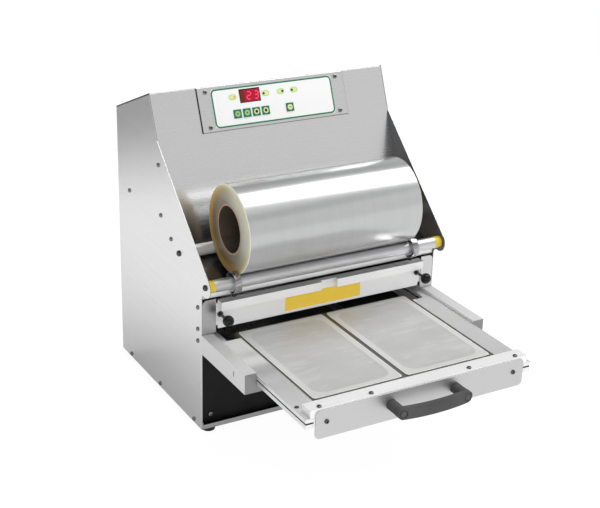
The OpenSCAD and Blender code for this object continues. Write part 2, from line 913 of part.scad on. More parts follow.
module control_board() {
    color(green) placed() on_slope() {
        translate([0, label_mid, board_z - board_t / 2])
            cube([control_w - 2 * board_inset[0], control_h - 2 * board_inset[1], board_t], center = true);
        for (x = [-1, 1], y = [-1, 1])
            translate([x * screw_col, label_mid + y * screw_row, board_z - past / 2])
                ring(spacer_d, hole_d, spacer_l + past / 2);
        for (x = concat(key_places, [start_key_x]))
            translate([x, -control_drop - key_row, board_z + switch_h / 2 - past / 2])
                cube([switch_w, switch_w, switch_h + past], center = true);
    }
}

// A key through the label, held by a flange behind the sloped panel
module key(x) {
    flange_top = -sheet - rest_gap;
    stem_z = board_z + switch_h + key_travel + rest_gap;
    color(green) placed() on_slope() translate([x, -control_drop - key_row, 0]) {
        translate([-key_w / 2, -key_w / 2, flange_top - key_flange])
            cube([key_w, key_w, label_top + key_proud - flange_top + key_flange]);
        translate([-key_w / 2 - key_flange, -key_w / 2 - key_flange, flange_top - key_flange])
            cube([key_w + 2 * key_flange, key_w + 2 * key_flange, key_flange]);
        translate([0, 0, stem_z]) cylinder(d = switch_w / 2, h = flange_top - stem_z);
    }
}

module menu_key() {
    key(key_places[0]);
}

module down_key() {
    key(key_places[1]);
}

module up_key() {
    key(key_places[2]);
}

module set_key() {
    key(key_places[3]);
}

module start_key() {
    key(start_key_x);
}

module roller_tube(c, end) {
    placed_at(c, -end) facing(1) difference() {
        cylinder(d = roller_od, h = 2 * end);
        translate([0, 0, -past]) cylinder(d = roller_od - 2 * roller_wall, h = 2 * (end + past));
    }
}

// Moves to a point of depth and height, at a place across the machine
module placed_at(c, x) {
    translate([x, c[0], c[1]]) children();
}

// An end bush with a spigot inside the roller tube
module end_bush(c, side, end) {
    spigot_d = roller_od - 2 * roller_wall - 2 * fit_gap;
    placed_at(c, side * end) facing(side) difference() {
        union() {
            cylinder(d = roller_od, h = bush_end - end);
            translate([0, 0, -bush_w]) cylinder(d = spigot_d, h = bush_w + past);
        }
        translate([0, 0, -bush_w - past])
            cylinder(d = axle_d + 2 * fit_gap, h = bush_end - end + bush_w + 2 * past);
    }
}

module front_roller() {
    color(bright) placed() roller_tube(front_roller_c, tube_hw);
}

module roller_bushes() {
    color(yellow) placed() for (side = [-1, 1]) end_bush(front_roller_c, side, tube_hw);
}

module rear_roller() {
    color(bright) placed() placed_at(rear_roller_c, -bush_end) facing(1) difference() {
        cylinder(d = roller_od, h = 2 * bush_end);
        for (z = [-past, 2 * bush_end - axle_hole])
            translate([0, 0, z]) cylinder(d = axle_d + 2 * fit_gap, h = axle_hole + past);
    }
}

// A stop collar on the front roller, with its thumb screw
module collar(side) {
    color(bright) placed() placed_at(front_roller_c, film_x + side * collar_x) {
        difference() {
            facing(1) translate([0, 0, -collar_w / 2])
                ring(collar_od, roller_od + 2 * fit_gap, collar_w);
            translate([0, 0, -collar_od / 2 - past])
                cylinder(d = thumb_shank + 2 * screw_gap, h = collar_od / 2 - roller_r + past);
        }
        translate([0, 0, -collar_od / 2 - thumb_l]) cylinder(d = thumb_d, h = thumb_l - side_gap);
        translate([0, 0, -collar_od / 2 - past])
            cylinder(d = thumb_shank, h = collar_od / 2 - roller_r + past - rest_gap);
    }
}

module left_collar() {
    collar(-1);
}

module right_collar() {
    collar(1);
}

module film_roll() {
    color([0.85, 0.86, 0.84, 0.6]) placed() placed_at(film_c, film_x - film_l / 2) facing(1)
        ring(film_od, core_id + 2 * core_wall, film_l);
}

module film_core() {
    color([0.55, 0.38, 0.22]) placed() placed_at(film_c, film_x - film_l / 2) facing(1)
        ring(core_id + 2 * core_wall, core_id, film_l);
}

module drawer_deck() {
    color(bright) placed() difference() {
        union() {
            block([-deck_hw, deck_y, deck_z - deck_t], [deck_hw, deck_back, deck_z]);
            block([-well_hw - deck_t, well_y - deck_t, mould_z - deck_t],
                [well_hw + deck_t, deck_back, deck_z]);
            block([-front_hw + front_r, deck_y, flange_z], [front_hw - front_r, deck_y + deck_t, deck_z]);
        }
        block([-well_hw, well_y, mould_z], [well_hw, deck_back + past, deck_z + past]);
        block([-mould_hw + tray_rim, mould_y + tray_rim, mould_z - past - deck_t],
            [mould_hw - tray_rim, deck_back + past, mould_z + past]);
        drawer_holes();
    }
}

// Drills the drawer's screw holes
module drawer_holes() {
    for (p = bar_screws) translate([p[0], p[1], deck_z - deck_t - past])
        cylinder(d = hole_d, h = bar_h + deck_t + 2 * past);
    for (p = rail_screws) translate([p[0], p[1], deck_z - deck_t - rail_wall - past])
        cylinder(d = hole_d, h = deck_t + rail_wall + 2 * past);
    for (p = concat(front_screws, handle_screws)) translate([p[0], deck_y + deck_t + past, p[1]]) forward()
        cylinder(d = hole_d, h = deck_t + front_t + 2 * past);
}

module drawer_front() {
    color(bright) placed() difference() {
        translate([0, drawer_y, front_z + front_h / 2]) along_y(front_t)
            round_rect(2 * front_hw, front_h, front_r);
        drawer_holes();
    }
}

module drawer_crossbar() {
    color("white") placed() difference() {
        block([-deck_hw + bar_inset, deck_y, deck_z], [deck_hw - bar_inset, deck_y + bar_d, bar_z]);
        drawer_holes();
    }
}

module drawer_rails() {
    color(bright) placed() difference() {
        for (side = [-1, 1])
            side_block(side, [deck_hw - rail_w, deck_y, rail_z], [deck_hw, rail_back, rail_z + rail_h]);
        for (side = [-1, 1])
            side_block(side, [deck_hw - rail_w + rail_wall, deck_y + rail_wall, rail_z + rail_wall],
                [deck_hw - rail_wall, rail_back + past, rail_z + rail_h - rail_wall]);
        for (side = [-1, 1])
            side_block(side, [deck_hw - groove_d, deck_y - past, rail_z + groove_up],
                [deck_hw + past, rail_back + past, rail_z + groove_up + groove_h]);
        drawer_holes();
    }
}

// Moves to the middle of each tray
module at_trays(z) {
    for (side = [-1, 1])
        translate([side * (tray_w + tray_gap) / 2, (tray_y + tray_back) / 2, z]) children();
}

module tray_mould() {
    cut_w = tray_w - 2 * tray_rim + 2 * side_gap;
    cut_l = tray_l - 2 * tray_rim + 2 * side_gap;
    color("silver") placed() difference() {
        block([-mould_hw, mould_y, mould_z], [mould_hw, mould_back, mould_top]);
        at_trays(mould_z - past) linear_extrude(mould_t + 2 * past) round_rect(cut_w, cut_l, tray_r);
    }
}

module food_trays() {
    cup_w = tray_w - 2 * tray_rim;
    cup_l = tray_l - 2 * tray_rim;
    color("gainsboro") placed() at_trays(rim_top - tray_h) difference() {
        union() {
            linear_extrude(tray_h) round_rect(cup_w, cup_l, tray_r);
            translate([0, 0, tray_h - tray_t]) linear_extrude(tray_t) round_rect(tray_w, tray_l, tray_r);
        }
        translate([0, 0, tray_t]) linear_extrude(tray_h)
            round_rect(cup_w - 2 * tray_t, cup_l - 2 * tray_t, tray_r - tray_t);
    }
}

module lid_films() {
    color([0.78, 0.78, 0.77]) placed() at_trays(rim_top) linear_extrude(lid_t)
        round_rect(tray_w, tray_l, tray_r);
}

module drawer_handle() {
    color(black) placed() difference() {
        union() {
            intersection() {
                translate([0, bow_y, handle_z - handle_h])
                    ring(2 * bow_r, 2 * (bow_r - handle_t), 2 * handle_h);
                translate([0, drawer_y - handle_reach - past, handle_z]) along_y(handle_reach)
                    round_rect(2 * bow_half, handle_h, handle_h / 2 - round_end);
            }
            for (x = [-1, 1]) translate([x * handle_half, drawer_y, handle_z]) forward()
                cylinder(d = handle_h - 2 * side_gap, h = drawer_y - cap_y - handle_t / 2);
        }
        for (x = [-1, 1]) {
            translate([x * handle_half, cap_y + cap_t, handle_z]) forward()
                cylinder(d = cap_d + 2 * rest_gap, h = handle_t);
            translate([x * handle_half, drawer_y + past, handle_z]) forward()
                cylinder(d = hole_d, h = bolt_in + 2 * past);
        }
    }
}

module handle_caps() {
    color(black) placed() for (x = [-1, 1]) translate([x * handle_half, cap_y + cap_t, handle_z]) forward()
        cylinder(d = cap_d, h = cap_t);
}

module drawer_screws() {
    color([0.25, 0.25, 0.26]) placed() {
        for (p = bar_screws) translate([p[0], p[1], bar_z]) screw(bar_h + deck_t + past);
        for (p = rail_screws) translate([p[0], p[1], deck_z])
            screw(deck_t + rail_wall + past, head_d, flat_head);
        for (p = front_screws) translate([p[0], drawer_y, p[1]]) forward() screw(front_t + deck_t + past);
        for (p = handle_screws) translate([p[0], deck_y + deck_t, p[1]]) rotate([-90, 0, 0])
            screw(deck_t + front_t + bolt_in);
    }
}

module hot_plate() {
    color("silver") placed() block([-head_hw, head_y, head_z], [head_hw, head_back, heater_z]);
}

module heater_pad() {
    color([0.8, 0.35, 0.1]) placed()
        block([-head_hw + heater_inset, head_y + heater_inset, heater_z],
            [head_hw - heater_inset, head_back - heater_inset, carrier_z]);
}

module knife_frame() {
    color(bright) placed() difference() {
        block([-head_hw - knife_out, head_y - knife_out, head_z + rest_gap],
            [head_hw + knife_out, head_back + knife_out, carrier_z]);
        block([-head_hw - knife_gap, head_y - knife_gap, head_z - past],
            [head_hw + knife_gap, head_back + knife_gap, carrier_z + past]);
    }
}

module head_carrier() {
    color(steel) placed() block([-head_hw - knife_out, head_y - knife_out, carrier_z],
        [head_hw + knife_out, head_back + knife_out, carrier_top]);
}

module head_columns() {
    color(bright) placed() {
        for (p = column_places) translate([p[0], p[1], carrier_top]) cylinder(d = column_d, h = column_l);
        translate([0, actuator_y, carrier_top]) cylinder(d = rod_d, h = rod_l);
    }
}

module lift_bridge() {
    color(steel) placed() difference() {
        union() {
            block([-in_hw, bridge_y, bridge_z], [in_hw, bridge_end, bridge_top]);
            for (side = [-1, 1])
                side_block(side, [in_hw - sheet, bridge_y, bridge_z],
                    [in_hw, bridge_end, bridge_top + bridge_flange]);
        }
        for (p = column_places) translate([p[0], p[1], bridge_z - past])
            cylinder(d = guide_bush_d + 2 * rest_gap, h = bridge_t + 2 * past);
        translate([0, actuator_y, bridge_z - past])
            cylinder(d = rod_d + 4 * side_gap, h = bridge_t + 2 * past);
        side_holes();
    }
}

module column_bushes() {
    color("goldenrod") placed() for (p = column_places) translate([p[0], p[1], 0]) difference() {
        union() {
            translate([0, 0, bridge_z - bush_drop])
                cylinder(d = guide_bush_d, h = bridge_t + bush_drop + past);
            translate([0, 0, bridge_top]) cylinder(d = bush_flange_d, h = bush_flange_t);
        }
        cylinder(d = column_d + 2 * fit_gap, h = bridge_top + bush_flange_t + past);
    }
}

module lift_actuator() {
    color([0.2, 0.22, 0.24]) placed() translate([0, actuator_y, bridge_top]) difference() {
        union() {
            translate([-actuator_foot / 2, -actuator_foot / 2, 0])
                cube([actuator_foot, actuator_foot, actuator_foot_t]);
            cylinder(d = actuator_d, h = actuator_h);
        }
        translate([0, 0, -past]) cylinder(d = rod_d + 2 * fit_gap, h = rod_engage + rod_room);
    }
}

module rewind_bearing() {
    color([0.3, 0.3, 0.32]) placed() placed_at([shaft_y, shaft_z], -in_hw) facing(1) difference() {
        translate([-bearing_side / 2, -bearing_side / 2, 0])
            cube([bearing_side, bearing_side, bearing_w]);
        translate([0, 0, past]) cylinder(d = journal_d + 2 * fit_gap, h = bearing_w);
    }
}

module rewind_motor() {
    color([0.25, 0.26, 0.28]) placed() placed_at([shaft_y, shaft_z], in_hw) facing(-1) difference() {
        cylinder(d = motor_d, h = motor_l);
        translate([0, 0, motor_l - journal_l - past])
            cylinder(d = journal_d + 2 * fit_gap, h = journal_l + 2 * past);
    }
}

module rewind_shaft() {
    color(bright) placed() placed_at([shaft_y, shaft_z], shaft_left) facing(1) {
        cylinder(d = shaft_d, h = shaft_right - shaft_left);
        translate([0, 0, -journal_l])
            cylinder(d = journal_d, h = shaft_right - shaft_left + 2 * journal_l);
    }
}

module power_supply() {
    color([0.62, 0.64, 0.66]) placed() difference() {
        translate(supply_corner) cube([supply_w, supply_d, supply_h]);
        for (i = [1:supply_slots])
            translate(supply_corner + [i * supply_pitch, supply_pitch, supply_h - sheet])
                cube([supply_slot_w, supply_d - 2 * supply_pitch, 2 * sheet]);
    }
}

module drawer_switch() {
    color([0.15, 0.15, 0.17]) placed()
        side_block(-1, [guide_in - ledge_w + past, switch_y, ledge_z],
            [guide_in - past, guide_back, ledge_z + rail_h]);
}

module cable_gland() {
    color(black) placed() translate([gland_x, body_d, gland_z]) rotate([-90, 0, 0]) difference() {
        union() {
            translate([0, 0, -sheet - gland_in]) cylinder(d = gland_thread, h = sheet + gland_in + past);
            cylinder(d = gland_hex, h = nut_t, $fn = 6);
            cylinder(d = gland_dome, h = gland_out);
        }
        translate([0, 0, -sheet - gland_in - past])
            cylinder(d = gland_bore, h = sheet + gland_in + gland_out + 2 * past);
    }
}

module gland_nut() {
    color(black) placed() translate([gland_x, back_y - nut_t, gland_z]) rotate([-90, 0, 0]) difference() {
        cylinder(d = gland_hex, h = nut_t, $fn = 6);
        translate([0, 0, -past]) cylinder(d = gland_thread + 2 * rest_gap, h = nut_t + 2 * past);
    }
}

// A pull plunger with a ball on its pin
module plunger(side) {
    color(black) placed() translate([side * plunger_x, sheet, plunger_z]) forward() {
        translate([0, 0, -pin_back]) cylinder(d = pin_d, h = ball_reach + pin_back);
        translate([0, 0, ball_reach]) sphere(d = ball_d);
    }
}

module left_plunger() {
    plunger(-1);
}

module right_plunger() {
    plunger(1);
}

left_side_panel();
right_side_panel();
base_tray();
rear_cover();
top_cover();
slope_panel();
film_shelf();
front_columns();
film_guard();
plunger_bushes();
lower_front_panel();
guide_arms();
guide_liners();
rubber_feet();
body_screws();
roller_axles();
control_plate();
control_label();
display_window();
indicator_lamps();
control_board();
lift_bridge();
column_bushes();
lift_actuator();
rewind_bearing();
rewind_motor();
power_supply();
drawer_switch();
cable_gland();
gland_nut();
menu_key();
down_key();
up_key();
set_key();
start_key();
front_roller();
roller_bushes();
rear_roller();
left_collar();
right_collar();
film_roll();
film_core();
drawer_deck();
drawer_front();
drawer_crossbar();
drawer_rails();
tray_mould();
food_trays();
lid_films();
drawer_handle();
handle_caps();
drawer_screws();
hot_plate();
heater_pad();
knife_frame();
head_carrier();
head_columns();
rewind_shaft();
left_plunger();
right_plunger();
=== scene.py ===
"""Finishes and fittings of a counter-top tray sealer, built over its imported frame."""

import math

import bmesh
import bpy
from bpy.props import FloatProperty, FloatVectorProperty, PointerProperty
from bpy.types import Operator, Panel, PropertyGroup
from mathutils import Matrix, Vector, noise


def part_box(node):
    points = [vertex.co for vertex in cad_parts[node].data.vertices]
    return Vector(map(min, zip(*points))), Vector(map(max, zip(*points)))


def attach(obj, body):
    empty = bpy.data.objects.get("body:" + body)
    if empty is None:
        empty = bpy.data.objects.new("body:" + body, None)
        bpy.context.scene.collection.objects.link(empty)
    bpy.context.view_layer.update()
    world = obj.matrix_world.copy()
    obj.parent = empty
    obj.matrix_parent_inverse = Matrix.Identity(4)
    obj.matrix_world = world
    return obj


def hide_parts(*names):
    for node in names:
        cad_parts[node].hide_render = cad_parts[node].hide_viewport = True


bl_info = {
    "name": "Tray Sealer Looks",
    "version": (1, 0, 0),
    "blender": (4, 5, 0),
    "location": "3D View > Sidebar > Tray Sealer",
    "description": "Finishes, film roll, trays and fittings of a counter-top tray sealer",
    "category": "Object",
}

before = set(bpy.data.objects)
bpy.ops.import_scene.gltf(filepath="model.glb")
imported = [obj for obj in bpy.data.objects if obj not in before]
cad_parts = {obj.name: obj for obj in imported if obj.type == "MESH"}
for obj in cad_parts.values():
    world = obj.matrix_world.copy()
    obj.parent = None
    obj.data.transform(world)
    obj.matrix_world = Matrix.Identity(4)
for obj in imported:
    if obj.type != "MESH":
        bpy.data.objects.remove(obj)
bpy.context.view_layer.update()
MM = 0.001
AXES = "XYZ"
SIDES = (-1, 1)  # left and right

# Sloped panel: its top edge, the way up it and the way out of it
SLOPE_TOP = Vector((0.0, 0.1915, 0.533276))
SLOPE_UP = Vector((0.0, 0.38430, 0.92321))
SLOPE_OUT = Vector((0.0, -SLOPE_UP.z, SLOPE_UP.y))
# How far the control plate and what it carries stand out of it
PLATE_RISE = 0.0015
LABEL_RISE = 0.0019
DISPLAY_RISE = 0.0020
KEY_RISE = 0.0029
# Middles of the controls, down from its top edge
LAMP_ROW = 0.0235
DISPLAY_ROW = 0.0238
LABEL_ROW = 0.0395
KEY_ROW = 0.052


def node_centre(node):
    """Middle of a node's box."""
    low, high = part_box(node)
    return (Vector(low) + Vector(high)) / 2


def node_half(node):
    """Half of a node's box."""
    low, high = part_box(node)
    return (Vector(high) - Vector(low)) / 2


def grey(level):
    """A neutral colour."""
    return (level, level, level)


# ---------------------------------------------------------------- sizes and colours


def length(name, text, value):
    return FloatProperty(name=name, description=text, default=value, unit="LENGTH", precision=5)


def colour(name, text, value):
    return FloatVectorProperty(name=name, description=text, default=value, subtype="COLOR", min=0.0, max=1.0)


class SealerSizes(PropertyGroup):
    """Sizes of the fittings that the looks add"""

    film_radius: length("Film radius", "Outside radius of the wound film", node_half("film_roll").z)
    core_radius: length("Core radius", "Inside radius of the card core", 0.0381)
    core_wall: length("Core wall", "Wall of the card core", node_half("film_core").z - 0.0381)
    edge_round: length("Edge rounding", "Rounding of sheet edges", 0.0009)
    screw_head: length("Screw head", "Diameter of a small screw's head", 0.0075)
    screw_rise: length("Screw rise", "Height of a small screw's head", 0.0022)
    ball: length("Ball", "Diameter of a plunger's ball", 0.0185)
    lid_sag: length("Lid sag", "How far a lid's film sags inside its rim", 0.0007)
    lid_crease: length("Lid crease", "Height of the creases in a lid's film", 0.0005)
    print_rise: length("Print rise", "Thickness of printed marks", 0.00005)


class SealerColours(PropertyGroup):
    """Colours of the finishes"""

    panel: colour("Panel steel", "Brushed steel of the side panels", grey(0.74))
    chrome: colour("Polished steel", "Polished steel of columns and shafts", (0.82, 0.82, 0.83))
    dark: colour("Dark steel", "Blackened steel of axle screws", (0.09, 0.09, 0.095))
    black: colour("Black", "Black ink and moulded black plastic", (0.018, 0.018, 0.019))
    handle: colour("Handle", "Matte dark handle", (0.085, 0.085, 0.087))
    film: colour("Film", "Wound clear film seen from outside", (0.528, 0.532, 0.532))
    film_edge: colour("Film edge", "Wound clear film seen from its end", (0.62, 0.56, 0.40))
    card: colour("Card", "Card inside the core", (0.085, 0.062, 0.046))
    card_end: colour("Card end", "Cut ends of the core", (0.66, 0.47, 0.32))
    yellow: colour("Yellow", "Yellow bushes", (0.80, 0.58, 0.03))
    strip: colour("Strip", "Yellow strip on the guard", (0.98, 0.67, 0.08))
    # Painted shade: the side panels' inner faces and edges take this dark grey.
    inside: colour("Inside", "Dark paint inside the side panels", (0.120, 0.124, 0.134))
    label: colour("Label", "White label", grey(0.86))
    teal: colour("Teal", "Border of the label and the keys", (0.004, 0.17, 0.085))
    lime: colour("Lime", "Lamps and the inner line round them", (0.66, 0.78, 0.34))
    pill: colour("Pill", "Printed outline round a lamp", (0.34, 0.55, 0.16))
    display: colour("Display", "Display window", (0.36, 0.010, 0.036))
    digits: colour("Digits", "Lit digits", (1.0, 0.03, 0.07))
    tray: colour("Tray", "Moulded tray", (0.50, 0.50, 0.49))
    lid: colour("Lid", "Sealed film over a tray", (0.53, 0.53, 0.525))
    floor: colour("Floor", "Pale floor", grey(0.93))


class SealerLooks(PropertyGroup):
    """All settings of the sealer's looks"""

    sizes: PointerProperty(type=SealerSizes)
    colours: PointerProperty(type=SealerColours)


def sizes():
    return bpy.context.scene.sealer_looks.sizes


def colours():
    return bpy.context.scene.sealer_looks.colours


# ---------------------------------------------------------------- node trees and finishes


class Wire:
    """A node's output in a tree. Arithmetic on it adds Math nodes."""

    def __init__(self, tree, node, output=0):
        self.tree = tree
        self.node = node
        self.socket = node.outputs[output] if node.outputs else None

    def other(self, output):
        """Another output of the same node."""
        return Wire(self.tree, self.node, output)

    def maths(self, operation, *values):
        return self.tree.node("ShaderNodeMath", {"operation": operation}, dict(enumerate(values)))

    def __add__(self, other):
        return self.maths("ADD", self, other)

    __radd__ = __add__

    def __sub__(self, other):
        return self.maths("SUBTRACT", self, other)

    def __rsub__(self, other):
        return self.maths("SUBTRACT", other, self)

    def __mul__(self, other):
        return self.maths("MULTIPLY", self, other)

    __rmul__ = __mul__

    def __truediv__(self, other):
        return self.maths("DIVIDE", self, other)

    def __rtruediv__(self, other):
        return self.maths("DIVIDE", other, self)

    def __abs__(self):
        return self.maths("ABSOLUTE", self)

    def root(self):
        return self.maths("SQRT", self)

    def ease(self, low, high, start=0.0, stop=1.0):
        """start below low, stop above high, smooth between."""
        sockets = {"Value": self, "From Min": low, "From Max": high, "To Min": start, "To Max": stop}
        return self.tree.node("ShaderNodeMapRange", {"interpolation_type": "SMOOTHSTEP"}, sockets)


class Tree:
    """A node tree that is built from wires and plain values."""

    def __init__(self, graph):
        self.graph = graph
        graph.nodes.clear()

    def plug(self, socket, value):
        """Links a wire to a socket, or sets a plain value on it."""
        if isinstance(value, Wire):
            self.graph.links.new(value.socket, socket)
        elif socket.type == "RGBA" and len(value) == 3:
            socket.default_value = (*value, 1.0)
        else:
            socket.default_value = value

    def node(self, kind, settings=None, sockets=None, output=0):
        """Adds one node: its settings first, then the values or links of its sockets."""
        made = self.graph.nodes.new(kind)
        for key, value in (settings or {}).items():
            if key == "stops":
                while len(made.color_ramp.elements) < len(value):
                    made.color_ramp.elements.new(0.5)
                for element, (place, tone) in zip(made.color_ramp.elements, value):
                    element.position = place
                    element.color = (*tone, 1.0)
            else:
                setattr(made, key, value)
        for key, value in (sockets or {}).items():
            self.plug(made.inputs[key], value)
        return Wire(self, made, output)


class Finish(Tree):
    """A procedural material, and the nodes that make it vary."""

    def __init__(self, name, tint, roughness, metallic=0.0, **constants):
        self.material = bpy.data.materials.new(name)
        self.material.use_nodes = True
        super().__init__(self.material.node_tree)
        self.tint = tuple(tint)
        sockets = {"Base Color": self.tint, "Roughness": roughness, "Metallic": metallic}
        sockets.update((key.replace("_", " "), value) for key, value in constants.items())
        self.shader = self.node("ShaderNodeBsdfPrincipled", sockets=sockets)
        self.output = self.node("ShaderNodeOutputMaterial", sockets={"Surface": self.shader})

    def point(self):
        return self.node("ShaderNodeTexCoord", output="Object")

    def axis(self, name):
        """The place on the piece along one axis."""
        return self.node("ShaderNodeSeparateXYZ", sockets={0: self.point()}, output=name)

    def grain(self, stretch, detail=2.0, rough=0.5, turn=(0.0, 0.0, 0.0), shift=(0.0, 0.0, 0.0)):
        """Noise with a number of grains a metre, the same on all axes or one for each."""
        if isinstance(stretch, float):
            stretch = (stretch, stretch, stretch)
        place = {"Vector": self.point(), "Scale": stretch, "Rotation": turn, "Location": shift}
        mapped = self.node("ShaderNodeMapping", sockets=place)
        inputs = {"Vector": mapped, "Scale": 1.0, "Detail": detail, "Roughness": rough}
        return self.node("ShaderNodeTexNoise", sockets=inputs)

    def blend(self, factor, first, second):
        """Mixes two colours."""
        sockets = {0: factor, 6: first, 7: second}
        return self.node("ShaderNodeMix", {"data_type": "RGBA", "blend_type": "MIX"}, sockets, output=2)

    def shade(self, factor, low, high):
        """The finish's own colour, from low times it to high times it."""
        dim, lit = (tuple(min(1.0, c * share) for c in self.tint) for share in (low, high))
        return self.blend(factor, dim, lit)

    def feed(self, socket, value):
        """Links or sets one socket of the shader."""
        self.plug(self.shader.node.inputs[socket], value)

    def surface(self, tone, rough=None, edge=None, relief=None, depth=0.0, strength=1.0):
        """Plugs in what varies over the surface, and gives the material.

        edge rounds sharp edges in the shading, and relief is a bump of a given depth and strength.
        """
        normal = None
        if edge:
            normal = self.node("ShaderNodeBevel", {"samples": 6}, {"Radius": edge})
        if relief:
            sockets = {"Height": relief, "Distance": depth, "Strength": strength}
            if normal:
                sockets["Normal"] = normal
            normal = self.node("ShaderNodeBump", sockets=sockets)
        for socket, value in (("Base Color", tone), ("Roughness", rough), ("Normal", normal)):
            if value:
                self.feed(socket, value)
        return self.material


def down_slope(finish):
    """How far a place lies down the sloped panel from its top edge."""
    behind, above = SLOPE_TOP.y - finish.axis("Y"), SLOPE_TOP.z - finish.axis("Z")
    return behind * SLOPE_UP.y + above * SLOPE_UP.z


def rim_seam(finish):
    """The dark seam along the top edge of a side panel."""
    return 1.0 - down_slope(finish).ease(0.0020, 0.0024)


def plate_edge_shadow(finish):
    """Painted shadow round the control plate's edge: full on its left, three quarters along its foot, about a
    third on its right.
    """
    x = finish.axis("X")
    left = 1.0 - x.ease(-0.1388, -0.1384)
    right = x.ease(0.1392, 0.1396) * 0.35
    return left + right + down_slope(finish).ease(0.0758, 0.0762) * 0.75


def brushed(name, tint, roughness, along, depth=0.000004, contrast=0.05, metallic=1.0,
            inside=None, zone=None, recess=None, seam=None, foot=None):
    """Brushed sheet steel, with its lines along one axis.

    inside is the distance from the middle up to which the sheet is dark grey: painted shade on its inner
    faces and edges. zone is a band along an axis with another colour and metallic, painted shade on most
    sheets that have one, and recess keeps that band to what lies behind the face. seam gives the places of a
    dark line, which is a seam on the side panels and painted shadow round the control plate. foot is a band
    of heights over which the sheet darkens downwards, to a share of its colour, as painted shade.
    """
    finish = Finish(name, tint, roughness, metallic)
    fine, broad = [1400.0] * 3, [260.0] * 3
    fine[AXES.index(along)], broad[AXES.index(along)] = 9.0, 3.0
    lines = finish.grain(fine, 3.0, 0.6)
    bands = finish.grain(broad, 2.0, 0.5, shift=(0.3, 0.1, 0.7))
    clouds = finish.grain(7.0, 2.0, 0.5)
    mixed = lines * 0.5 + bands * 0.35 + clouds * 0.15
    tone = finish.shade(mixed.ease(0.3, 0.7), 1.0 - contrast, 1.0 + contrast)
    # Painted shade: the sheet darkens towards the bottom of a band of heights.
    if foot:
        low, high, share = foot
        tone = finish.blend(1.0 - finish.axis("Z").ease(low, high), tone, [c * share for c in tint])
    # Painted shade: dark grey on the inner faces and edges, inward of the outer face.
    if inside:
        inner_shade = 1.0 - abs(finish.axis("X")).ease(inside - 0.0012, inside)
        tone = finish.blend(inner_shade, tone, colours().inside)
        finish.feed("Metallic", metallic - inner_shade * (metallic - 0.3))
    # A band of another colour and metallic: painted shade on the guard, arms and rails, a pale bead on the
    # shelf.
    if zone:
        axis, low, high, band_tint, band_metallic = zone
        place = finish.axis(axis)
        band = place.ease(low - 0.0002, low) * (1.0 - place.ease(high, high + 0.0004))
        if recess:
            band = band * (1.0 - abs(finish.axis("X")).ease(recess - 0.0003, recess))
        tone = finish.blend(band, tone, band_tint)
        finish.feed("Metallic", metallic - band * (metallic - band_metallic))
    # Dark line: the side panels' rim seam, and painted shadow round the control plate.
    if seam:
        tone = finish.blend(seam(finish), tone, grey(0.03))
    return finish.surface(tone, (mixed - 0.5) * 0.22 + roughness, sizes().edge_round, lines, depth)


def polished(name, tint, roughness, axis="X", socket=None):
    """Turned and polished steel with faint rings along its axis, and painted shade in a screw's socket where
    it has one.
    """
    finish = Finish(name, tint, roughness, 1.0)
    stretch = [40.0] * 3
    stretch[AXES.index(axis)] = 2200.0
    rings = finish.grain(stretch, 2.0)
    marks = finish.grain((30.0, 90.0, 90.0), 3.0)
    tone = finish.shade(marks.ease(0.35, 0.75), 0.93, 1.03)
    # Painted shade: the sunk socket is near black.
    if socket:
        shaded_socket = finish.node("ShaderNodeAttribute", {"attribute_name": "socket"}, output="Fac")
        tone = finish.blend(shaded_socket, tone, socket)
    return finish.surface(tone, (marks - 0.5) * 0.12 + roughness, 0.0006, rings, 0.000002)


def painted(name, tint, roughness, orange=900.0, depth=0.00002, edge=0.0008, **constants):
    """Sprayed paint with a fine skin and a little dust."""
    finish = Finish(name, tint, roughness, **constants)
    skin = finish.grain(orange, 2.0)
    dust = finish.grain(25.0, 4.0, 0.6)
    tone = finish.shade(dust.ease(0.3, 0.8), 0.85, 1.35)
    return finish.surface(tone, dust * 0.14 + (roughness - 0.07), edge, skin, depth)


def moulded(name, tint, roughness, grain=1600.0, depth=0.00003, edge=0.0007, **constants):
    """Moulded plastic or rubber with a fine grain."""
    finish = Finish(name, tint, roughness, **constants)
    pores = finish.grain(grain, 2.0, 0.6)
    tone = finish.shade(finish.grain(18.0, 3.0).ease(0.25, 0.75), 0.9, 1.12)
    return finish.surface(tone, (pores - 0.5) * 0.15 + roughness, edge, pores, depth)


def printed(name, tint, roughness=0.45, **constants):
    """Screen-printed ink with a fine grain."""
    finish = Finish(name, tint, roughness, **constants)
    dots = finish.grain(3000.0, 1.0)
    return finish.surface(finish.shade(dots.ease(0.3, 0.7), 0.94, 1.06), (dots - 0.5) * 0.1 + roughness)


def finish_nodes(finish, *nodes):
    """Gives CAD nodes a finish."""
    for node in nodes:
        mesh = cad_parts[node].data
        mesh.materials.clear()
        mesh.materials.append(finish)


# ---------------------------------------------------------------- shapes


def link(name, data):
    """Puts a mesh, a lamp or a camera into the scene."""
    made = bpy.data.objects.new(name, data)
    bpy.context.scene.collection.objects.link(made)
    return made


def mesh_from(name, shape):
    """Turns a bmesh into a mesh."""
    mesh = bpy.data.meshes.new(name)
    shape.to_mesh(mesh)
    shape.free()
    return mesh


def new_piece(name, shape, finishes, body, slot, nodes=(), sharp=35.0):
    """Makes a bmesh or a mesh a finished piece that rides on a body, smooth except at sharp edges."""
    mesh = shape if isinstance(shape, bpy.types.Mesh) else mesh_from(name, shape)
    for polygon in mesh.polygons:
        polygon.use_smooth = True
    mesh.set_sharp_from_angle(angle=math.radians(sharp))
    for finish in finishes:
        if finish.name not in mesh.materials:
            mesh.materials.append(finish)
    piece = link(name, mesh)
    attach(piece, body)
    if nodes:
        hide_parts(*nodes)
    return piece


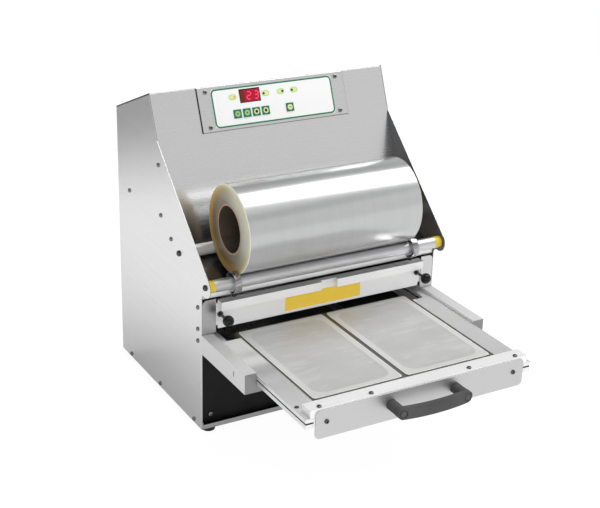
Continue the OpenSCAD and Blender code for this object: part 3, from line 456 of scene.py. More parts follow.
def skin(shape, pairs, caps=(), finish=0):
    """Faces between pairs of loops and over single loops, all facing outwards."""
    made = []
    for first, second in pairs:
        steps = max(len(first), len(second))
        for i in range(steps):
            j = (i + 1) % steps
            corners = [first[i % len(first)], first[j % len(first)]]
            corners += [second[j % len(second)], second[i % len(second)]]
            made.append(shape.faces.new(list(dict.fromkeys(corners))))
    made += [shape.faces.new(cap) for cap in caps]
    bmesh.ops.recalc_face_normals(shape, faces=made)
    for face in made:
        face.material_index = finish
    return made


def lathe(shape, centre, axis, profile, steps=64, closed=False, finish=0):
    """Turns a profile of (radius, distance along the axis) points about an axis."""
    axis = Vector(axis).normalized()
    across = axis.orthogonal().normalized()
    beside = axis.cross(across)
    rings = []
    for radius, along in profile:
        middle = Vector(centre) + axis * along
        points = outline_disc(radius, steps) if radius > 0.0 else [(0.0, 0.0)]
        rings.append([shape.verts.new(middle + across * u + beside * v) for u, v in points])
    pairs = list(zip(rings, rings[1:]))
    if closed:
        pairs.append((rings[-1], rings[0]))
    return skin(shape, pairs, finish=finish)


def both_ends(profile):
    """A profile of one end, and its mirror image at the other."""
    return profile + [(radius, -along) for radius, along in reversed(profile)]


def outline_rect(half_w, half_h, radius, steps=6):
    """Points round a rectangle with round corners."""
    points = []
    for turn, (sx, sy) in enumerate(((1, 1), (-1, 1), (-1, -1), (1, -1))):
        for i in range(steps + 1):
            angle = math.radians(90.0 * (turn + i / steps))
            x = sx * (half_w - radius) + radius * math.cos(angle)
            y = sy * (half_h - radius) + radius * math.sin(angle)
            points.append((x, y))
    return points


def outline_disc(radius, steps=28):
    """Points round a circle."""
    turns = [2.0 * math.pi * i / steps for i in range(steps)]
    return [(radius * math.cos(turn), radius * math.sin(turn)) for turn in turns]


def on_slope(x, down, rise):
    """A point of the sloped panel: across, down from its top edge, and out of it."""
    return SLOPE_TOP + Vector((x, 0.0, 0.0)) - SLOPE_UP * down + SLOPE_OUT * rise


def slope_mark(shape, centre, points, rise, hole=None, finish=0):
    """A printed mark on the sloped panel, thin but solid."""

    def loops(outline):
        for out in (rise, rise + sizes().print_rise):
            yield [shape.verts.new(on_slope(centre[0] + x, centre[1] - y, out)) for x, y in outline]

    low, high = loops(points)
    if hole is None:
        skin(shape, [(low, high)], [high, low[::-1]], finish)
    else:
        low_in, high_in = loops(hole)
        skin(shape, [(low, high), (high, high_in), (high_in, low_in), (low_in, low)], finish=finish)


# ---------------------------------------------------------------- operators


class SEALER_OT_stage(Operator):
    """Floor, soft studio light and the camera"""

    bl_idname = "sealer.stage"
    bl_label = "Stage"

    FLOOR_RADIUS, FLOOR_DROP = 40.0, 0.0002
    CARD = ((-2.6, 1.12, 0.0), (-0.25, 1.12, 0.0), (-0.25, 1.12, 1.4), (-2.6, 1.12, 1.4))
    # Name, place, aim, size, power, and whether metal mirrors the lamp
    LAMPS = (
        ("ceiling_softbox", (1.0, 0.0, 2.1), (0.0, 0.0, 0.3), (1.4, 2.2), 34.0, True),
        ("front_fill", (-0.5, -2.7, 0.75), (0.0, 0.0, 0.25), (1.6, 1.0), 17.0, False),
    )
    # Turn, lift and roll in degrees
    CAMERA_ANGLES = (-30.127, 22.777, 1.651)
    CAMERA_PLACE = (-1.034057, -1.708219, 1.121063)
    CAMERA_LENS, CAMERA_SENSOR = 78.84, 36.0

    def execute(self, context):
        scene = context.scene
        scene.view_settings.view_transform = "Standard"
        self.make_floor()
        self.make_world(scene)
        self.make_card()
        for lamp in self.LAMPS:
            self.make_lamp(*lamp)
        self.make_camera(scene)
        return {"FINISHED"}

    def make_floor(self):
        """A pale floor, white to the camera, which metal mirrors with painted shade near the sealer, under
        and behind it.
        """
        shape = bmesh.new()
        bmesh.ops.create_circle(shape, cap_ends=True, segments=96, radius=self.FLOOR_RADIUS)
        floor = link("floor", mesh_from("floor", shape))
        floor.location.z = -self.FLOOR_DROP
        finish = Finish("pale_floor", colours().floor, 0.9)
        seen = finish.node("ShaderNodeLightPath", output="Is Camera Ray")
        glossy, through = seen.other("Is Glossy Ray"), seen.other("Is Transmission Ray")
        # Painted shade: near the sealer, metal mirrors less of the white and more of the lit floor.
        mirrored_shade = (1.0 - abs(finish.axis("X")).ease(0.24, 0.50)) * finish.axis("Y").ease(-0.12, 0.02)
        share = (seen + through) * 0.88 + glossy * (0.92 - mirrored_shade * 0.82)
        white = finish.node("ShaderNodeEmission", sockets={"Color": grey(1.0), "Strength": 1.08})
        mixed = finish.node("ShaderNodeMixShader", sockets={0: share, 1: finish.shader, 2: white})
        finish.plug(finish.output.node.inputs["Surface"], mixed)
        speckle = finish.grain(40.0, 3.0)
        floor.data.materials.append(finish.surface(finish.shade(speckle, 0.99, 1.01)))

    def make_card(self):
        """A card behind on the left, darker towards its top, for the side panel to mirror."""
        shape = bmesh.new()
        shape.faces.new([shape.verts.new(corner) for corner in self.CARD])
        card = link("dark_card", mesh_from("dark_card", shape))
        card.visible_camera = card.visible_diffuse = card.visible_shadow = False
        finish = Finish("card_grey", grey(0.44), 0.8)
        tone = finish.blend(finish.axis("Z").ease(0.0, 0.2), grey(0.98), finish.tint)
        card.data.materials.append(finish.surface(tone))

    def make_world(self, scene):
        """A pale room, lighter in front than behind, with a dimmer band below the softbox."""
        scene.world = bpy.data.worlds.new("studio")
        scene.world.use_nodes = True
        room = Tree(scene.world.node_tree)
        way = room.node("ShaderNodeTexCoord", output="Generated")
        behind = room.node("ShaderNodeSeparateXYZ", sockets={0: way}, output="Y")
        above = behind.other("Z")
        band = above.ease(0.44, 0.58, 1.0, 0.5) + above.ease(0.68, 0.78, 0.0, 0.5)
        front = behind.ease(-0.55, 0.45, 0.94, 0.50)
        light = room.node("ShaderNodeBackground", sockets={"Strength": front * band})
        room.node("ShaderNodeOutputWorld", sockets={"Surface": light})

    def make_lamp(self, name, place, aim, size, power, mirrored):
        """A soft rectangular lamp that points at its aim."""
        data = bpy.data.lights.new(name, "AREA")
        data.shape = "RECTANGLE"
        data.size, data.size_y = size
        data.energy = power
        lamp = link(name, data)
        lamp.location = place
        lamp.rotation_euler = (Vector(aim) - Vector(place)).to_track_quat("-Z", "Y").to_euler()
        lamp.visible_glossy = mirrored

    def make_camera(self, scene):
        """The camera at the photograph's viewing angle."""
        turn, lift, roll = (math.radians(angle) for angle in self.CAMERA_ANGLES)
        back = Vector((math.sin(turn) * math.cos(lift), -math.cos(turn) * math.cos(lift), math.sin(lift)))
        right = Vector((math.cos(turn), math.sin(turn), 0.0))
        up = back.cross(right)
        across = right * math.cos(roll) + up * math.sin(roll)
        above = up * math.cos(roll) - right * math.sin(roll)
        data = bpy.data.cameras.new("camera")
        data.lens, data.sensor_width = self.CAMERA_LENS, self.CAMERA_SENSOR
        camera = link("camera", data)
        place = Matrix((across, above, back)).transposed().to_4x4()
        place.translation = self.CAMERA_PLACE
        camera.matrix_world = place
        scene.camera = camera


class SEALER_OT_sheets(Operator):
    """Brushed, painted and moulded finishes of the body's and the drawer's sheets"""

    bl_idname = "sealer.sheets"
    bl_label = "Sheets"

    # Finish, grey level, roughness, axis of its lines, their depth and contrast, metallic, node
    STEEL = (
        ("base_steel", 0.44, 0.30, "X", 0.000004, 0.035, 1.0, "base_tray"),
        ("slope_steel", 0.74, 0.26, "X", 0.0000015, 0.012, 1.0, "slope_panel"),
        ("plate_steel", 0.72, 0.28, "X", 0.0000015, 0.012, 1.0, "control_plate"),
        # The shelf's dark grey is painted shade under and behind the roll.
        ("shaded_shelf_steel", 0.22, 0.24, "X", 0.000002, 0.03, 1.0, "film_shelf"),
        ("guard_steel", 0.97, 0.50, "X", 0.0000006, 0.01, 0.3, "film_guard"),
        ("column_sheet", 0.60, 0.30, "X", 0.000002, 0.03, 1.0, "front_columns"),
        ("arm_steel", 0.80, 0.40, "Y", 0.000002, 0.03, 0.45, "guide_arms"),
        ("rail_steel", 0.88, 0.34, "Y", 0.000002, 0.03, 0.6, "drawer_rails"),
        ("deck_steel", 0.90, 0.16, "Y", 0.000001, 0.02, 0.62, "drawer_deck"),
        ("front_steel", 0.605, 0.46, "X", 0.000003, 0.03, 1.0, "drawer_front"),
        ("bar_steel", 0.95, 0.34, "X", 0.000002, 0.03, 0.35, "drawer_crossbar"),
    )
    # Heights of the shelf's bead, and heights over which the slope darkens to a share of its tone, as painted
    # shade at its foot
    BEAD = (0.2428, 0.260)
    SLOPE_SHADE = (0.288, 0.376, 0.16)
    # The groove of a rail, above its underside, painted near black as the shade in it
    GROOVE_SHADE = (0.0068, 0.0094)

    def execute(self, context):
        panel = colours().panel
        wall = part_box("right_side_panel")[1][0]
        # The side panels are dark grey inward of their outer faces, painted shade.
        side = brushed("side_steel", panel, 0.24, "Y", contrast=0.035, inside=wall - 0.0002, seam=rim_seam)
        finish_nodes(side, "left_side_panel", "right_side_panel")
        finish_nodes(brushed("back_steel", panel, 0.26, "X", contrast=0.035), "rear_cover", "top_cover")
        special = self.special()
        for name, level, roughness, along, depth, contrast, metallic, node in self.STEEL:
            look = (grey(level), roughness, along, depth, contrast, metallic)
            finish_nodes(brushed(name, *look, **special.get(name, {})), node)
        black = painted("black_panel", (0.008, 0.008, 0.009), 0.36, Specular_IOR_Level=0.12)
        finish_nodes(black, "lower_front_panel")
        finish_nodes(moulded("foot_rubber", (0.02, 0.02, 0.021), 0.75), "rubber_feet")
        finish_nodes(moulded("liner_nylon", (0.78, 0.77, 0.73), 0.4), "guide_liners")
        return {"FINISHED"}

    def special(self):
        """What some sheets have apart from the rest: the plate's painted edge shadow, the slope's painted
        shade at its foot, and bands of another tone, which are painted shade on the guard, arms and rails and
        a pale bead on the shelf.
        """
        guard_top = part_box("film_guard")[1][2]
        arm_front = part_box("guide_arms")[0][1]
        low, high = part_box("drawer_rails")
        groove = [low[2] + height for height in self.GROOVE_SHADE]
        return {
            # Painted shade: the slope darkens towards its foot.
            "slope_steel": {"foot": self.SLOPE_SHADE},
            # Painted shadow round the control plate's edge.
            "plate_steel": {"seam": plate_edge_shadow},
            "shaded_shelf_steel": {"zone": ("Z", *self.BEAD, grey(0.97), 0.1)},
            # Painted shade: the guard's top, under the bead and the front roller, is darker grey.
            "guard_steel": {"zone": ("Z", guard_top - 0.0003, guard_top, grey(0.42), 0.5)},
            # Painted shade: the arms' front ends are darker grey.
            "arm_steel": {"zone": ("Y", arm_front - 0.001, arm_front + 0.0003, grey(0.27), 0.45)},
            # Painted shade: near black in the rails' groove.
            "rail_steel": {"zone": ("Z", *groove, grey(0.04), 0.5), "recess": high[0] - 0.0002},
        }


class SEALER_OT_insides(Operator):
    """Finishes of the pieces inside the body"""

    bl_idname = "sealer.insides"
    bl_label = "Insides"

    def execute(self, context):
        tone = colours()
        plate = brushed("bridge_steel", tone.panel, 0.34, "X")
        finish_nodes(plate, "lift_bridge", "head_carrier", "knife_frame")
        finish_nodes(polished("column_steel", tone.chrome, 0.12, "Z"), "head_columns")
        finish_nodes(polished("shaft_steel", tone.chrome, 0.16, "X"), "rewind_shaft")
        drive = painted("drive_paint", (0.16, 0.17, 0.18), 0.45)
        finish_nodes(drive, "lift_actuator", "rewind_motor", "rewind_bearing")
        alloy = painted("cast_alloy", (0.52, 0.52, 0.51), 0.5, 500.0, 0.00006)
        finish_nodes(alloy, "power_supply", "hot_plate")
        finish_nodes(self.mould_alloy(), "tray_mould")
        finish_nodes(polished("bush_brass", (0.68, 0.49, 0.20), 0.24, "Z"), "column_bushes")
        finish_nodes(moulded("heater_silicone", (0.44, 0.12, 0.03), 0.6), "heater_pad")
        finish_nodes(moulded("board_laminate", (0.012, 0.13, 0.06), 0.4), "control_board")
        nylon = moulded("gland_nylon", tone.black, 0.42)
        finish_nodes(nylon, "cable_gland", "gland_nut", "drawer_switch")
        return {"FINISHED"}

    def mould_alloy(self):
        """Dull cast alloy, browned by heat towards the back."""
        finish = Finish("mould_alloy", (0.11, 0.108, 0.10), 0.45)
        grit = finish.grain(500.0, 3.0)
        heat = finish.axis("Y").ease(-0.22, -0.03)
        tone = finish.blend(heat, finish.shade(grit, 0.85, 1.2), (0.105, 0.085, 0.05))
        return finish.surface(tone, (grit - 0.5) * 0.2 + 0.45, None, grit, 0.00005)


class SEALER_OT_screws(Operator):
    """Button-head screws of the body and the drawer"""

    bl_idname = "sealer.screws"
    bl_label = "Screws"

    # Side screws, in mm behind the body's front and above its base
    BODY_FRONT, BODY_BASE = -0.0045, 0.012
    SIDE = ((161.35, 410.05), (114.46, 297.42), (154.46, 325.0), (286.5, 325.0), (14.0, 179.0),
            (14.0, 217.0), (14.0, 158.0), (30.0, 6.0), (168.0, 6.0), (295.0, 6.0))
    # Half of the distances between the control plate's screws
    PLATE_ACROSS, PLATE_DOWN = 0.1245, 0.0295
    # Other screws on the right: place, way that they face, and share of the full height
    FEET = (((0.201, 0.0155, 0.006), (0, 0, -1), 1.0), ((0.201, 0.3115, 0.006), (0, 0, -1), 1.0))
    DRAWER = (
        ((0.1765, -0.2975, 0.192), (0, 0, 1), 1.0),
        ((0.08825, -0.2975, 0.192), (0, 0, 1), 1.0),
        ((0.1955, -0.2665, 0.180), (0, 0, 1), 0.35),
        ((0.168, -0.3065, 0.170), (0, -1, 0), 1.0),
        ((0.0575, -0.3033, 0.170), (0, 1, 0), 1.0),
    )
    # Steps of a head's rounding: share of the rise, and width against the step below
    ROUNDING = ((0.45, 1.0), (0.27, 0.93), (0.18, 0.82), (0.10, 0.66))
    # A socket's width against the top step, and its depth as a share of the rise
    SOCKET_WIDTH, SOCKET_DEPTH = 0.72, 0.6
    INPUTS = {"Points": "Geometry", "Radius": "Float", "Rise": "Float", "Socket": "Float", "Depth": "Float",
              "Finish": "Material"}

    def execute(self, context):
        # The last colour of each is painted shade in the screw sockets.
        bright = polished("screw_steel", grey(0.24), 0.16, "Z", grey(0.01))
        dull = polished("drawer_screw_steel", (0.12, 0.12, 0.125), 0.22, "Z", grey(0.006))
        group = self.head_group()
        self.place("body", group, self.body_screws(), bright, "chrome_steel")
        self.place("drawer", group, self.DRAWER, dull, "dark_steel")
        finish_nodes(polished("axle_steel", colours().dark, 0.22, "X"), "roller_axles")
        return {"FINISHED"}

    def body_screws(self):
        """The screws on the body's right."""
        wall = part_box("right_side_panel")[1][0]
        places = [(wall, y * MM + self.BODY_FRONT, z * MM + self.BODY_BASE) for y, z in self.SIDE]
        screws = [(place, (1, 0, 0), 1.0) for place in places]
        for way in (-1, 1):
            place = on_slope(self.PLATE_ACROSS, LABEL_ROW + way * self.PLATE_DOWN, PLATE_RISE)
            screws.append((place, SLOPE_OUT, 1.0))
        screws += self.FEET
        screws.append(((0.202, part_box("lower_front_panel")[0][1], 0.032), (0, -1, 0), 0.6))
        return screws

    def head_group(self):
        """A node group that puts a turned screw head with a socket on each point."""
        group = bpy.data.node_groups.new("screw_heads", "GeometryNodeTree")
        group.interface.new_socket("Geometry", in_out="OUTPUT", socket_type="NodeSocketGeometry")
        for label, kind in self.INPUTS.items():
            group.interface.new_socket(label, in_out="INPUT", socket_type="NodeSocket" + kind)
        tree = Tree(group)
        given = tree.node("NodeGroupInput").other
        disc = {"Vertices": 24, "Radius": given("Radius")}
        mesh, top = tree.node("GeometryNodeMeshCircle", {"fill_type": "NGON"}, disc), None
        for rise, width in self.ROUNDING:
            mesh, top, side = self.raise_top(tree, mesh, top, given("Rise") * rise, width)
        mesh, top, side = self.raise_top(tree, mesh, top, 0.0, given("Socket"))
        mesh, top, side = self.raise_top(tree, mesh, top, given("Depth") * -1.0, 1.0)
        # Marks the socket's faces, where the finish paints shade.
        shaded_socket = tree.node("FunctionNodeBooleanMath", {"operation": "OR"}, {0: top, 1: side})
        mark = {"Geometry": mesh, "Selection": shaded_socket, "Name": "socket", "Value": 1.0}
        head = tree.node("GeometryNodeStoreNamedAttribute", {"data_type": "FLOAT", "domain": "FACE"}, mark)
        named = "GeometryNodeInputNamedAttribute"
        facing = tree.node(named, {"data_type": "FLOAT_VECTOR"}, {"Name": "facing"})
        height = tree.node(named, {"data_type": "FLOAT"}, {"Name": "height"})
        turned = tree.node("FunctionNodeAlignRotationToVector", {"axis": "Z"}, {"Vector": facing})
        scale = tree.node("ShaderNodeCombineXYZ", sockets={0: 1.0, 1: 1.0, 2: height})
        spread = {"Points": given("Points"), "Instance": head, "Rotation": turned, "Scale": scale}
        placed = tree.node("GeometryNodeInstanceOnPoints", sockets=spread)
        real = tree.node("GeometryNodeRealizeInstances", sockets={0: placed})
        coated = {"Geometry": real, "Material": given("Finish")}
        tree.node("NodeGroupOutput", sockets={0: tree.node("GeometryNodeSetMaterial", sockets=coated)})
        return group

    def raise_top(self, tree, mesh, top, rise, width):
        """Lifts the top face of a head and narrows it."""
        sockets = {"Mesh": mesh, "Offset Scale": rise}
        if top:
            sockets["Selection"] = top
        lifted = tree.node("GeometryNodeExtrudeMesh", {"mode": "FACES"}, sockets)
        top = lifted.other("Top")
        sockets = {"Geometry": lifted, "Selection": top, "Scale": width}
        return tree.node("GeometryNodeScaleElements", sockets=sockets), top, lifted.other("Side")

    def place(self, body, group, screws, finish, slot):
        """One piece of all the heads on a body, from the screws on its right."""
        size = sizes()
        name = body + "_screw_heads"
        heads = [((side * x, y, z), (side * out, back, up), height)
                 for (x, y, z), (out, back, up), height in screws for side in SIDES]
        mesh = bpy.data.meshes.new(name + "_points")
        mesh.from_pydata([head[0] for head in heads], [], [])
        layer = mesh.attributes.new("facing", "FLOAT_VECTOR", "POINT").data
        layer.foreach_set("vector", [part for head in heads for part in head[1]])
        layer = mesh.attributes.new("height", "FLOAT", "POINT").data
        layer.foreach_set("value", [head[2] for head in heads])
        points = link(name + "_points", mesh)
        maker = points.modifiers.new("heads", "NODES")
        maker.node_group = group
        values = {"Radius": size.screw_head / 2, "Rise": size.screw_rise, "Socket": self.SOCKET_WIDTH,
                  "Depth": size.screw_rise * self.SOCKET_DEPTH, "Finish": finish}
        for item in group.interface.items_tree:
            if item.in_out == "INPUT" and item.name in values:
                maker[item.identifier] = values[item.name]
        made = bpy.data.meshes.new_from_object(points.evaluated_get(bpy.context.evaluated_depsgraph_get()))
        made.name = name
        bpy.data.objects.remove(points)
        if not made.polygons:
            raise RuntimeError("no screw heads were made for " + name)
        new_piece(name, made, [finish], body, slot, [body + "_screws"], 30.0)


class SEALER_OT_film(Operator):
    """Wound film and its card core"""

    bl_idname = "sealer.film"
    bl_label = "Film roll"

    def execute(self, context):
        size = sizes()
        centre = node_centre("film_roll")
        half = node_half("film_roll").x
        inner = size.core_radius + size.core_wall
        self.wind(centre, half, inner + 0.0001, size.film_radius)
        self.core(centre, half, size.core_radius, inner)
        return {"FINISHED"}

    def wind(self, centre, half, inner, outer):
        """The wound film, with slightly uneven turns at its ends and round edges."""
        shape = bmesh.new()
        edge, rings, uneven = 0.0012, 22, 0.00012
        end = []
        for i in range(rings + 1):
            radius = inner + (outer - edge - inner) * i / rings
            end.append((radius, half - uneven * (1.0 + noise.noise(Vector((radius * 900.0, 3.0, 7.0))))))
        for angle in (math.radians(degrees) for degrees in (20, 45, 70, 90)):
            end.append((outer - edge + edge * math.sin(angle), half - edge + edge * math.cos(angle)))
        for polygon in lathe(shape, centre, (1, 0, 0), both_ends(end), 160, closed=True):
            if abs(polygon.normal.x) > 0.5:
                polygon.material_index = 1
        finishes = [self.film_skin(), self.film_ends(centre, inner, outer)]
        new_piece("wound_film", shape, finishes, "film", "clear_film", ["film_roll"], 50.0)

    def film_skin(self):
        """The outer turns of the film, with a long ripple."""
        finish = Finish("film_skin", colours().film, 0.2, 0.55, Coat_Weight=0.5, Coat_Roughness=0.12)
        turns = finish.grain((60.0, 2.0, 2.0), 3.0, 0.6)
        ripple = finish.grain((3.0, 14.0, 14.0), 2.0, 0.5, turn=(0.0, 0.0, 0.25))
        tone = finish.shade(turns.ease(0.3, 0.7), 0.98, 1.02)
        return finish.surface(tone, (ripple - 0.5) * 0.1 + 0.22, None, ripple, 0.0008, 0.25)

    def film_ends(self, centre, inner, outer):
        """The cut edges of the wound film, with painted light: pale in front and above, and a darker amber
        painted shade behind and below.
        """
        finish = Finish("film_ends", colours().film_edge, 0.36, Coat_Weight=0.2, Coat_Roughness=0.2,
                        Subsurface_Weight=0.7, Subsurface_Scale=1.0, Subsurface_Radius=(0.022, 0.020, 0.012))
        back, down = finish.axis("Y") - centre.y, centre.z - finish.axis("Z")
        radius = (back * back + down * down).root()
        turns = {"W": radius, "Scale": 2600.0, "Detail": 2.0}
        layers = finish.node("ShaderNodeTexNoise", {"noise_dimensions": "1D"}, turns)
        part = (radius - inner) / (outer - inner) + (layers - 0.5) * 0.10
        # Tones from the core out: the film's own colour, with painted light in the pale outer turns.
        tones = [(0.0, (0.50, 0.38, 0.26)), (0.12, (0.46, 0.43, 0.35)), (0.45, (0.56, 0.53, 0.41)),
                 (0.75, (0.64, 0.58, 0.34)), (0.90, (0.76, 0.71, 0.47)), (1.0, (0.95, 0.93, 0.80))]
        stack = finish.node("ShaderNodeValToRGB", {"stops": tones}, {"Fac": part})
        # Painted light: paler towards the front and top.
        turn = (back * 0.85 + down * 0.55) / radius
        stack = finish.blend((1.0 - turn.ease(-0.95, -0.1)) * 0.75, stack, (0.93, 0.91, 0.78))
        # Painted shade: amber behind and below.
        amber = turn.ease(-0.3, 0.7) * part.ease(-0.1, 0.45) * (1.0 - part.ease(0.92, 1.0))
        amber_shade_tone = finish.blend(part.ease(0.35, 0.85), (0.40, 0.24, 0.08), (0.88, 0.52, 0.13))
        tone = finish.blend(amber * 0.95, stack, amber_shade_tone)
        return finish.surface(tone, (layers - 0.5) * 0.2 + 0.36, None, layers, 0.00015)

    def core(self, centre, half, inner, outer):
        """The card core, dark inside and pale at its cut ends."""
        shape = bmesh.new()
        rim = 0.0005
        face = half - 0.00005
        end = [(inner, half - rim), (inner + rim, face), (outer - rim, face), (outer, half - rim)]
        lathe(shape, centre, (1, 0, 0), both_ends(end), 128, closed=True)
        finish = Finish("core_card", colours().card, 0.85)
        wraps = finish.grain((30.0, 120.0, 120.0), 3.0)
        pulp = finish.grain(700.0, 4.0, 0.7)
        cut = abs(finish.axis("X") - centre.x).ease(half - 0.0009, half - 0.0004)
        card = finish.shade((wraps * 0.5 + pulp * 0.5).ease(0.3, 0.7), 0.75, 1.35)
        coat = finish.surface(finish.blend(cut, card, colours().card_end), relief=pulp, depth=0.0001)
        new_piece("card_core", shape, [coat], "film", "core_card", ["film_core"])


class SEALER_OT_rollers(Operator):
    """Film rollers, their yellow bushes and the stop collars"""

    bl_idname = "sealer.rollers"
    bl_label = "Rollers"

    # Thumb screw under a collar: radius, and height over the roller's middle
    THUMB_SCREW = ((0.0, -0.0240), (0.0030, -0.0240), (0.0037, -0.0236), (0.0040, -0.0231), (0.0040, -0.0192),
                   (0.0037, -0.0187), (0.0015, -0.0185), (0.0015, -0.0165), (0.0, -0.0165))
    # Its knurl: where it starts, depth as a share of the radius, and number of ridges
    KNURL_RADIUS, KNURL_DEPTH, KNURL_COUNT = 0.0036, 0.06, 20.0

    def execute(self, context):
        finish_nodes(polished("roller_steel", (0.66, 0.66, 0.67), 0.40), "front_roller")
        rear = brushed("rear_roller_steel", grey(0.74), 0.42, "X", 0.000002, 0.03, 0.4)
        finish_nodes(rear, "rear_roller")
        finish_nodes(moulded("bush_yellow", colours().yellow, 0.35), "roller_bushes")
        ring = polished("collar_steel", (0.42, 0.42, 0.43), 0.12)
        screw = polished("thumb_screw_steel", (0.035, 0.035, 0.036), 0.3, "Z")
        roller = node_centre("front_roller")
        for node in ("left_collar", "right_collar"):
            self.collar(node, Vector((node_centre(node).x, roller.y, roller.z)), ring, screw)
        return {"FINISHED"}

    def collar(self, node, centre, ring, screw):
        """A stop collar with its knurled thumb screw."""
        shape = bmesh.new()
        bore, outer, half, cut = 0.01005, 0.018, 0.006, 0.0011
        end = [(bore, half - 0.0004), (bore + 0.0005, half), (outer - cut, half),
               (outer - cut * 0.3, half - cut * 0.3), (outer, half - cut)]
        lathe(shape, centre, (1, 0, 0), both_ends(end), 96, closed=True)
        knurl = lathe(shape, centre, (0, 0, 1), self.THUMB_SCREW, 40, finish=1)
        for vert in {vert for polygon in knurl for vert in polygon.verts}:
            away = (vert.co - centre).xy
            if away.length > self.KNURL_RADIUS:
                ridge = math.cos(math.atan2(away.y, away.x) * self.KNURL_COUNT)
                vert.co.xy = centre.xy + away * (1.0 - self.KNURL_DEPTH * (0.5 + 0.5 * ridge))
        new_piece(node + "_ring", shape, [ring, screw], node, "chrome_steel", [node])


class SEALER_OT_plungers(Operator):
    """Spring plungers with their black balls"""

    bl_idname = "sealer.plungers"
    bl_label = "Plungers"

    # Middle of the right ball
    BALL_PLACE = (0.189, -0.0325, 0.216)
    # The ball's flat neck and the stem: radius, and distance behind the ball's middle
    NECK = ((0.0042, 0.0082), (0.0042, 0.0094), (0.0, 0.0094))
    STEM = ((0.0, 0.0090), (0.0025, 0.0090), (0.0025, 0.0505), (0.0019, 0.0515), (0.0, 0.0515))

    def execute(self, context):
        gloss = moulded("ball_gloss", grey(0.006), 0.12, 900.0, 0.000004, 0.0003, Specular_IOR_Level=0.3)
        pin = polished("pin_steel", (0.10, 0.10, 0.105), 0.25, "Y")
        finish_nodes(polished("bush_steel", (0.12, 0.12, 0.125), 0.3, "Y"), "plunger_bushes")
        radius = sizes().ball / 2
        angles = [math.radians(degrees) for degrees in range(8, 150, 8)]
        ball = [(0.0, -radius)] + [(radius * math.sin(a), -radius * math.cos(a)) for a in angles]
        across, front, height = self.BALL_PLACE
        for side, node in zip(SIDES, ("left_plunger", "right_plunger")):
            shape = bmesh.new()
            centre = Vector((side * across, front, height))
            lathe(shape, centre, (0, 1, 0), ball + list(self.NECK), 48)
            lathe(shape, centre, (0, 1, 0), self.STEM, 32, finish=1)
            new_piece(node + "_knob", shape, [gloss, pin], node, "black_gloss", [node])
        return {"FINISHED"}


